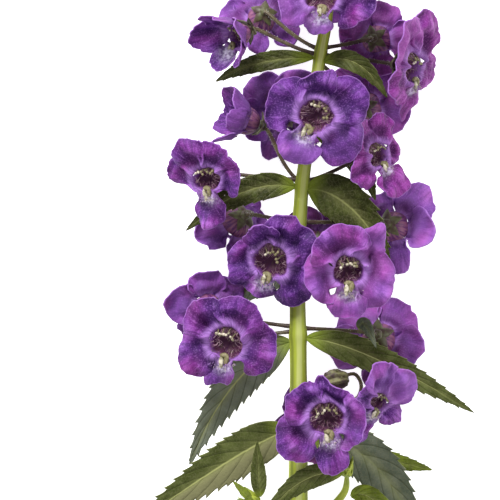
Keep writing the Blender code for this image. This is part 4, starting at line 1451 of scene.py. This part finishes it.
class SPIKE_OT_calyxes(bpy.types.Operator):
    """Five-pointed calyx behind every bloom and bud"""
    bl_idname = "spike.calyxes"
    bl_label = "Calyxes"

    def execute(self, context):
        stem = context.scene.spike_stem
        shape = bmesh.new()
        for bloom in BLOOMS:
            sepals(shape, calyx_frame(bloom), bloom.size, SEPAL_REACH, SEPAL_LIFT)
        for bud in BUDS:
            back = Matrix.Translation((0, 0, -(bud.length / 2 + CALYX_GAP) * MM))
            sepals(shape, frame_of(bud, BUD_TURN) @ back, bud.length * BUD_CALYX, *BUD_SEPALS)
        green = plain_finish("calyx", stem.sepal, stem.maroon, 0.5, scale=900.0)
        piece = add_piece("calyxes", shape, (green,), ["stem"], closed=False)
        thicken(piece, SEPAL_THICKNESS)
        knobs = bmesh.new()
        for bloom in BLOOMS:
            place = calyx_frame(bloom)
            size = [bloom.size * a for a in CUP_SIZE]
            lump(knobs, place.translation, size, place.to_3x3(), CUP_RINGS, fluted)
        add_piece("calyx_cups", knobs, (green,))
        return {"FINISHED"}


# Stem: corners round it, pixels from one ring to the next, how far its corners are rounded, how
# many ribs it has, and how uneven it is and how finely along it
STEM_SIDES = 32
STEM_ROW_STEP = 2
STEM_EASING = 12
RIBS = 4
STEM_UNEVENNESS = (0.02, 0.1)


def stem_at(row):
    """Point of the stem's axis and its radius at a pixel row of the view."""
    for (x0, y0, z0, r0), (x1, y1, z1, r1) in zip(STEM_LINE, STEM_LINE[1:]):
        if y1 <= row <= y0:
            share = (y0 - row) / (y0 - y1)
            radius = r0 + (r1 - r0) * share
            break
    place = from_view(x0 + (x1 - x0) * share, row, z0 + (z1 - z0) * share)
    swell = sum(math.exp(-((row - node) / NODE_LENGTH) ** 2) for node in NODE_ROWS)
    return place, radius * (1 + NODE_SWELLING * swell)


def eased_stem_at(row):
    """The same, with the corners of the axis rounded."""
    reach = min(STEM_EASING, STEM_LINE[0][1] - row, row - STEM_LINE[-1][1])
    places = [stem_at(row + offset)[0] for offset in (-reach, 0, reach)]
    return sum(places, Vector()) / 3, stem_at(row)[1]


def stem_steps():
    """Number of rings from the cut end to the tip, less one."""
    return (STEM_LINE[0][1] - STEM_LINE[-1][1]) // STEM_ROW_STEP


def stem_shape(stem, shape):
    first, last = STEM_LINE[0][1], STEM_LINE[-1][1]
    steps = stem_steps()
    stations = [eased_stem_at(first + (last - first) * step / steps) for step in range(steps + 1)]
    points = [place for place, _radius in stations]
    ahead_at = [(b - a).normalized() for a, b in zip(points, points[1:])]
    ahead_at.append(ahead_at[-1])
    depth, scale = STEM_UNEVENNESS

    def point(u, v):
        index = round(v * (steps + 2)) - 1
        capped = index < 0 or index > steps
        index = min(max(index, 0), steps)
        place, radius = stations[index]
        ahead = ahead_at[index]
        up = Vector((1, 0, 0)).cross(ahead).normalized()
        side = ahead.cross(up)
        turn = 2 * math.pi * u
        rib = 1 + stem.groove * math.cos(RIBS * turn)
        rib += depth * rough(math.cos(turn), math.sin(turn), index * scale)
        reach = 0.0 if capped else radius * rib * MM
        corner = place + (side * math.cos(turn) + up * math.sin(turn)) * reach
        return above_table(corner, 0.0)

    patch(shape, STEM_SIDES, steps + 2, point)


class SPIKE_OT_stem(bpy.types.Operator):
    """Grooved main stem from the cut end to the tip"""
    bl_idname = "spike.stem"
    bl_label = "Stem"

    def execute(self, context):
        stem = context.scene.spike_stem
        shape = bmesh.new()
        stem_shape(stem, shape)
        add_piece("main_stem", shape, (stem_finish(stem),), ["stem"])
        return {"FINISHED"}


# Flower stalks: corners round them, steps along them and along each part of the hook, width at
# the root and beyond in shares of the radius, and steps from one to the other. Then the hairs on
# each: number and radius, where they root in shares of the stalk's radius, and how far they lean.
STALK_SIDES = 8
STALK_STEPS = 18
HOOK_STEPS = 4
STALK_WIDTHS = (1.25, 0.85)
STALK_NARROWING = 3
STALK_HAIRS = 60
STALK_HAIR_RADIUS = 0.045
STALK_HAIR_ROOTS = 0.7
STALK_HAIR_LEAN = 0.3


def bezier(corners, share):
    """Point on the curve that a row of control points draws."""
    while len(corners) > 1:
        corners = [a.lerp(b, share) for a, b in zip(corners, corners[1:])]
    return corners[0]


def stalk_points(root, tip, facing):
    """Leaves the stem outward and upward, and arrives behind the flower along its axis."""
    reach = tip - root
    outward = Vector((reach.x, reach.y * STALK_LEAVING_CLIMB, reach.z))
    leave = root + outward.normalized() * reach.length * STALK_LEAVING_SHARE
    arrive = tip - facing * min(reach.length * STALK_ARRIVAL_SHARE, STALK_ARRIVAL * MM)
    return [bezier([root, leave, arrive, tip], step / STALK_STEPS)
            for step in range(STALK_STEPS + 1)]


def all_stalks():
    """Points along the stalk of every bloom and bud, and along the withered flower's hook."""
    lines = []
    for bloom in BLOOMS:
        out = Vector(bloom.facing).normalized()
        lines.append(stalk_points(stem_at(bloom.row)[0], calyx_frame(bloom).translation, out))
    for bud in BUDS:
        out = Vector(bud.facing).normalized()
        tip = from_view(*bud.pixel, bud.height) - out * (bud.length / 2 + CALYX_GAP) * MM
        lines.append(stalk_points(stem_at(bud.row)[0], tip, out))
    corners = [stem_at(POD_ROW)[0]] + [from_view(*place) for place in POD_STALK]
    lines.append(through(corners, HOOK_STEPS))
    return lines


def through(corners, steps):
    """Smooth line through all the corners."""
    ends = [corners[0]] + corners + [corners[-1]]
    line = []
    for a, b, c, d in zip(ends, ends[1:], ends[2:], ends[3:]):
        for step in range(steps):
            t = step / steps
            line.append(0.5 * (2 * b + (c - a) * t + (2 * a - 5 * b + 4 * c - d) * t ** 2
                               + (3 * b - a - 3 * c + d) * t ** 3))
    return line + [corners[-1]]


def surface_hairs(lines, radius, count, reach, chance):
    """Hairs that stand out of thin rods along lines."""
    hairs = []
    for line in lines:
        for _hair in range(count):
            index = chance.randrange(1, len(line) - 1)
            ahead = (line[index + 1] - line[index]).normalized()
            out = Vector([chance.gauss(0, 1) for _axis in range(3)])
            out = (out - ahead * out.dot(ahead)).normalized()
            root = line[index].lerp(line[index + 1], chance.random())
            root += out * radius * STALK_HAIR_ROOTS * MM
            lean = chance.uniform(-STALK_HAIR_LEAN, STALK_HAIR_LEAN)
            tip = root + (out + ahead * lean) * reach * MM
            hairs.append((root, root.lerp(tip, 0.5), tip))
    return hairs


class SPIKE_OT_stalks(bpy.types.Operator):
    """Thin maroon flower stalks with short white hairs"""
    bl_idname = "spike.stalks"
    bl_label = "Flower stalks"

    def execute(self, context):
        stem = context.scene.spike_stem
        shape = bmesh.new()
        lines = all_stalks()
        for line in lines:
            radii = [STALK_RADIUS * blend(*STALK_WIDTHS, smooth(step / STALK_NARROWING))
                     for step in range(len(line))]
            tube(shape, line, radii, STALK_SIDES)
        bark = plain_finish("stalk_maroon", stem.maroon, stem.stalk_green, 0.5, scale=500.0)
        add_piece("flower_stalks", shape, (bark,), ["stem"])
        hairs = surface_hairs(lines, STALK_RADIUS, STALK_HAIRS, stem.hair_length,
                              random.Random("stalk hairs"))
        shape = bmesh.new()
        strands(shape, len(hairs), STRAND_SIDES, 2, strand_rows(hairs, STALK_HAIR_RADIUS * MM))
        white = plain_finish("stalk_hair", stem.hair, stem.hair, 0.5)
        add_piece("stalk_hairs", shape, (white,))
        return {"FINISHED"}


# Grid of a leaf: columns, and rows for each of its teeth
LEAF_COLUMNS = 18
ROWS_PER_TOOTH = 7

# Outline of a leaf: how deep its foot sits in the stem, where it is widest, how full it is, how
# broad its foot is, and the step along its midrib that gives the midrib's direction
LEAF_ROOTING = 0.25
LEAF_SKEW = 0.75
LEAF_FULLNESS = 0.85
LEAF_FOOT = 0.14
MIDRIB_STEP = 0.02

# Teeth: least number, where they start and are full, where they end before the tip, the half
# width of a leaf with full teeth, their lean, how far one side's are behind the other's, how
# close they keep to the edge, and how uneven they are
LEAST_TEETH = 6
TEETH_START = (0.22, 0.42)
TEETH_END = 0.05
FULL_TEETH_WIDTH = 4.5
TOOTH_LEAN = 0.45
TOOTH_OFFSET = 0.3
TOOTH_EDGE = 6
TOOTH_UNEVENNESS = (0.5, 0.7)

# Relief of a leaf: height and reach of the swells between side veins, height and scales of the
# waves of its edge, depth and half width of the channel over its midrib, and fall of its sides
QUILTING = 0.14
QUILTING_REACH = 1.1
EDGE_WAVE = (0.35, 7, 0.7)
MIDRIB_CHANNEL = (0.12, 0.1)
SIDE_FALL = 0.25


def leaf_width(along):
    """Lance shape with a narrow foot: widest about two fifths of the way along."""
    body = math.sin(math.pi * along ** LEAF_SKEW) ** LEAF_FULLNESS if along < 1 else 0.0
    foot = LEAF_FOOT * (1 - along)
    return max(body, foot)


def stem_leaf_corners(row, places):
    """Root in the stem's side, facing the bend, then the bend and the tip."""
    axis, radius = stem_at(row)
    corners = [from_view(*place) for place in places]
    outward = corners[0] - axis
    outward.y = 0.0
    return [axis + outward.normalized() * (radius - LEAF_ROOTING) * MM] + corners


def blade_rows(rows, corners, roll):
    """Middle, direction, side and upward directions of the blade for each of its rows."""
    made = []
    for row in range(rows + 1):
        along = row / rows
        before = bezier(corners, max(along - MIDRIB_STEP, 0))
        ahead = (bezier(corners, min(along + MIDRIB_STEP, 1)) - before).normalized()
        side = ahead.cross(Vector((0, 0, 1))).normalized()
        side.rotate(Matrix.Rotation(math.radians(roll), 3, ahead))
        made.append((bezier(corners, along), ahead, side, side.cross(ahead)))
    return made


def make_leaf(leaves, name, corners, half_width, fold, roll, finishes):
    """Toothed blade, folded along its midrib, puffed between its side veins, with a wavy edge."""
    reach = (corners[-1] - corners[0]).length / MM
    teeth = max(LEAST_TEETH, round(reach / leaves.tooth_spacing))
    last = teeth * ROWS_PER_TOOTH
    rows = blade_rows(last, corners, roll)
    fold = math.radians(fold)
    bite = min(1.0, half_width / FULL_TEETH_WIDTH) ** 2
    seed = float(len(name))
    start, full = TEETH_START
    uneven, spacing = TOOTH_UNEVENNESS
    wave, waves_along, waves_across = EDGE_WAVE
    channel, channel_width = MIDRIB_CHANNEL

    def point(u, v):
        middle, ahead, side, up = rows[round(v * last)]
        across = 2 * u - 1
        out = abs(across)
        broad = leaf_width(v)
        place_in_tooth = (v * teeth + TOOTH_OFFSET * (across > 0)) % 1.0
        sharp = smooth((v - start) / (full - start)) * smooth((1 - v) / TEETH_END)
        sharp *= out ** TOOTH_EDGE
        sharp *= bite
        size = 1 + uneven * rough(v * teeth * spacing, across, seed)
        width = half_width * broad
        width += leaves.tooth_depth * size * (place_in_tooth ** 2 - 0.5) * sharp
        lean = TOOTH_LEAN * leaves.tooth_spacing * place_in_tooth ** 2 * sharp * MM
        puff = math.sin(math.pi * ((v * SIDE_VEINS - out * SIDE_VEIN_SWEEP) % 1.0))
        lift = QUILTING * puff * math.sin(math.pi * min(out * QUILTING_REACH, 1.0)) * broad
        lift += wave * out ** 2 * broad * rough(v * waves_along, across * waves_across, seed)
        lift += channel * min(out / channel_width, 1.0) - SIDE_FALL * out ** 2 * broad
        rise = width * out * math.sin(fold) + lift
        place = middle + side * across * width * math.cos(fold) * MM + up * rise * MM
        return above_table(place + ahead * lean, leaves.thickness)

    shape = bmesh.new()
    patch(shape, LEAF_COLUMNS, last, point)
    piece = add_piece("blade_" + name, shape, finishes, ["leaf_" + name], closed=False)
    thicken(piece, leaves.thickness, backs=1)


class SPIKE_OT_leaves(bpy.types.Operator):
    """Toothed and veined leaves of the stem and the side shoots"""
    bl_idname = "spike.leaves"
    bl_label = "Leaves"

    def execute(self, context):
        leaves = context.scene.spike_leaves
        tops = {tone: leaf_finish(tone + "_leaf", leaves, *values)
                for tone, values in LEAF_FINISHES.items()}
        back = leaf_finish("leaf_back", leaves, *LEAF_BACK)
        blades = [(name, stem_leaf_corners(row, places), form)
                  for name, row, places, *form in STEM_LEAVES]
        blades += [(name, [from_view(*place) for place in places], form)
                   for name, places, *form in SHOOT_LEAVES]
        for name, corners, form in blades:
            make_leaf(leaves, name, corners, *form, (tops[LEAF_TONES.get(name, "green")], back))
        return {"FINISHED"}


# Side shoots: steps between the places of each, corners round it and taper to its tip, with two
# whorls of young leaves there: their reach and lift, and size and turn of each whorl
SHOOT_STEPS = 8
SHOOT_SIDES = 16
SHOOT_TAPER = 0.6
SHOOT_TIP = (1.5, 4.6)
SHOOT_WHORLS = ((1.0, 0), (0.7, 36))


class SPIKE_OT_shoots(bpy.types.Operator):
    """Side shoots in the lowest leaf axils, with young leaves at their tips"""
    bl_idname = "spike.shoots"
    bl_label = "Side shoots"

    def execute(self, context):
        stem = context.scene.spike_stem
        leaves = context.scene.spike_leaves
        shape = bmesh.new()
        tips = bmesh.new()
        for places, radius in SHOOTS:
            line = through([from_view(*place) for place in places], SHOOT_STEPS)
            shares = [step / (len(line) - 1) for step in range(len(line))]
            radii = [radius * (1 - SHOOT_TAPER * share ** 3) for share in shares]
            tube(shape, line, radii, SHOOT_SIDES)
            facing = (line[-1] - line[-3]).normalized()
            for size, turn in SHOOT_WHORLS:
                sepals(tips, flower_frame(line[-2], facing, turn), size, *SHOOT_TIP)
        bark = plain_finish("shoot_green", leaves.bright_green, stem.yellow_green, 0.42,
                            scale=300.0)
        add_piece("side_shoots", shape, (bark,), ["stem"])
        young = plain_finish("young_tip", leaves.bright_green, stem.yellow_green, 0.45,
                             scale=500.0)
        piece = add_piece("shoot_tips", tips, (young,), closed=False)
        thicken(piece, SEPAL_THICKNESS)
        return {"FINISHED"}


# Withered flower: rings of its pod, depth and number of the pod's folds and their turn along it,
# depth and scale of its wrinkles, and size, reach, lift and place of its calyx
POD_RINGS = 22
POD_FOLDS = (0.16, 7, 2)
POD_WRINKLES = (0.12, 4)
OLD_SEPALS = (0.8, 3.2, 2.2)
OLD_SEPALS_BACK = 0.8


def wrinkled(out):
    """Deep folds along the pod and small wrinkles across it."""
    depth, count, twist = POD_FOLDS
    folds = depth * math.cos(count * math.atan2(out.z, out.y) + twist * out.x)
    height, scale = POD_WRINKLES
    return 1 + folds + height * rough(out.x * scale, out.y * scale, out.z * scale)


class SPIKE_OT_withered_flower(bpy.types.Operator):
    """Shrivelled flower on its hooked stalk, with its calyx"""
    bl_idname = "spike.withered_flower"
    bl_label = "Withered flower"

    def execute(self, context):
        stem = context.scene.spike_stem
        shape = bmesh.new()
        middle = from_view(*POD_MIDDLE)
        lump(shape, middle, POD_SIZE, Matrix.Identity(3), POD_RINGS, wrinkled)
        brown = plain_finish("withered", stem.withered, stem.dry_green, 0.6, scale=650.0)
        add_piece("withered_flower", shape, (brown,), ["stem"])
        collar = bmesh.new()
        hook_end = from_view(*POD_STALK[-1])
        facing = (middle - from_view(*POD_STALK[-2])).normalized()
        place = flower_frame(hook_end - facing * OLD_SEPALS_BACK * MM, facing, 0)
        sepals(collar, place, *OLD_SEPALS)
        green = plain_finish("old_calyx", stem.sepal, stem.stalk_green, 0.5, scale=900.0)
        piece = add_piece("withered_calyx", collar, (green,), closed=False)
        thicken(piece, SEPAL_THICKNESS)
        return {"FINISHED"}


# Buds: width as a share of their length, rings, size of those at the tip, depth, number and
# winding of their folds, and where the green foot turns violet
BUD_WIDTH = 0.55
BUD_RINGS = 20
TIP_BUD_SIZE = (1.0, 1.0, 1.7)
TIP_BUD_RINGS = 12
BUD_FOLDS = (0.07, 5, 3)
BUD_FOOT = (0.2, 0.55)


def furled(out):
    """Petal folds that wind up to the tip."""
    depth, count, twist = BUD_FOLDS
    return 1 + depth * math.cos(count * math.atan2(out.y, out.x) + twist * out.z)


def bud_finish(petals, stem):
    """Green at the foot, violet towards the tip."""
    skin = Finish("bud_skin", 0.6, Sheen_Weight=0.25)
    grain = skin.grain(700.0)
    tone = skin.mix(skin.range(grain, *SOFT_PATCHES), petals.deep_violet, petals.violet)
    along = skin.across_and_along()[1]
    skin.colour(skin.mix(skin.range(along, *BUD_FOOT), stem.sepal, tone))
    skin.bump(grain, strength=0.4, distance=0.12)
    return skin.material


class SPIKE_OT_buds(bpy.types.Operator):
    """Violet buds of the crown and the tight green buds at the tip"""
    bl_idname = "spike.buds"
    bl_label = "Buds"

    def execute(self, context):
        stem = context.scene.spike_stem
        skin = bud_finish(context.scene.spike_petals, stem)
        for bud in BUDS:
            place = frame_of(bud, BUD_TURN)
            half = bud.length / 2
            shape = bmesh.new()
            size = (half * BUD_WIDTH, half * BUD_WIDTH, half)
            lump(shape, place.translation, size, place.to_3x3(), BUD_RINGS, furled)
            add_piece("furled_bud_" + bud.number, shape, (skin,), ["bud_" + bud.number])
        shape = bmesh.new()
        tip_row = STEM_LINE[-1][1]
        for number in range(TIP_BUDS):
            turn = number * GOLDEN_ANGLE
            axis = stem_at(tip_row + number * TIP_BUD_SPACING)[0]
            out = Vector((math.cos(turn), TIP_BUD_LEAN, math.sin(turn)))
            middle = axis + out * TIP_BUD_REACH * number / TIP_BUDS * MM
            splay = Vector((out.x * TIP_BUD_SPLAY, 1, out.z * TIP_BUD_SPLAY))
            turned = Vector((0, 0, 1)).rotation_difference(splay).to_matrix()
            lump(shape, middle, TIP_BUD_SIZE, turned, TIP_BUD_RINGS, furled)
        green = plain_finish("tip_bud", stem.sepal, stem.yellow_green, 0.5, scale=900.0)
        add_piece("tip_buds", shape, (green,), ["stem"])
        return {"FINISHED"}


# Stage: height of the stem under the camera, camera's sensor in millimetres, strength of the sky,
# and name, place, size and power of the lamps
STEM_HEIGHT = 0.015
SENSOR = 36.0
SKY = 0.4
LIGHTS = (
    ("key", (-0.3, 0.7, 0.62), 0.35, 13.0),
    ("fill", (0.75, -0.1, 0.5), 0.5, 3.0),
    ("low", (-0.5, -0.6, 0.4), 0.5, 2.0),
)


class SPIKE_OT_stage(bpy.types.Operator):
    """Pale table, soft lights and a camera that looks straight down"""
    bl_idname = "spike.stage"
    bl_label = "Stage"

    def execute(self, context):
        stage = context.scene.spike_stage
        shape = bmesh.new()
        bmesh.ops.create_grid(shape, x_segments=1, y_segments=1, size=stage.table_size / 2)
        mesh = bpy.data.meshes.new("table")
        shape.to_mesh(mesh)
        shape.free()
        table = bpy.data.objects.new("table", mesh)
        context.scene.collection.objects.link(table)
        pale = plain_finish("table_pale", stage.table, stage.table, 0.8, scale=20.0, relief=0.01,
                            Emission_Color=(1.0, 1.0, 1.0, 1.0), Emission_Strength=stage.glow)
        mesh.materials.append(pale)
        for name, place, size, power in LIGHTS:
            light = bpy.data.lights.new(name, "AREA")
            light.size = size
            light.energy = power
            lamp = bpy.data.objects.new(name, light)
            context.scene.collection.objects.link(lamp)
            lamp.location = place
            lamp.rotation_euler = Vector(place).to_track_quat("Z", "Y").to_euler()
        world = bpy.data.worlds.new("soft_sky")
        context.scene.world = world
        world.use_nodes = True
        sky = world.node_tree.nodes["Background"].inputs
        sky["Color"].default_value = (1, 1, 1, 1)
        sky["Strength"].default_value = SKY
        lens = bpy.data.cameras.new("camera")
        lens.sensor_width = SENSOR
        lens.lens = SENSOR * stage.camera_height / (VIEW_PIXELS * PIXEL)
        camera = bpy.data.objects.new("camera", lens)
        context.scene.collection.objects.link(camera)
        above = Vector((0, 0, STEM_HEIGHT + stage.camera_height))
        camera.location = from_view(*VIEW_MIDDLE, 0.0) + above
        context.scene.camera = camera
        context.scene.view_settings.view_transform = "Standard"
        return {"FINISHED"}


class SPIKE_PT_panel(bpy.types.Panel):
    """Settings of the flower spike, and buttons that make its pieces"""
    bl_idname = "SPIKE_PT_panel"
    bl_label = "Flower spike"
    bl_space_type = "VIEW_3D"
    bl_region_type = "UI"
    bl_category = "Flower spike"

    def draw(self, context):
        for settings in SETTINGS:
            group = getattr(context.scene, settings)
            for key in group.__annotations__:
                self.layout.prop(group, key)
        for operator in OPERATORS:
            self.layout.operator(operator.bl_idname)


SETTINGS = {
    "spike_petals": PetalSettings,
    "spike_leaves": LeafSettings,
    "spike_stem": StemSettings,
    "spike_stage": StageSettings,
}
OPERATORS = (
    SPIKE_OT_stage,
    SPIKE_OT_stem,
    SPIKE_OT_stalks,
    SPIKE_OT_calyxes,
    SPIKE_OT_blooms,
    SPIKE_OT_throats,
    SPIKE_OT_leaves,
    SPIKE_OT_shoots,
    SPIKE_OT_withered_flower,
    SPIKE_OT_buds,
)


def register():
    for name, group in SETTINGS.items():
        bpy.utils.register_class(group)
        setattr(bpy.types.Scene, name, PointerProperty(type=group))
    for made in OPERATORS + (SPIKE_PT_panel,):
        bpy.utils.register_class(made)


def unregister():
    for made in reversed(OPERATORS + (SPIKE_PT_panel,)):
        bpy.utils.unregister_class(made)
    for name, group in SETTINGS.items():
        delattr(bpy.types.Scene, name)
        bpy.utils.unregister_class(group)


def main():
    register()
    bpy.ops.spike.stage()
    bpy.ops.spike.stem()
    bpy.ops.spike.stalks()
    bpy.ops.spike.calyxes()
    bpy.ops.spike.blooms()
    bpy.ops.spike.throats()
    bpy.ops.spike.leaves()
    bpy.ops.spike.shoots()
    bpy.ops.spike.withered_flower()
    bpy.ops.spike.buds()


if __name__ == "__main__":
    main()
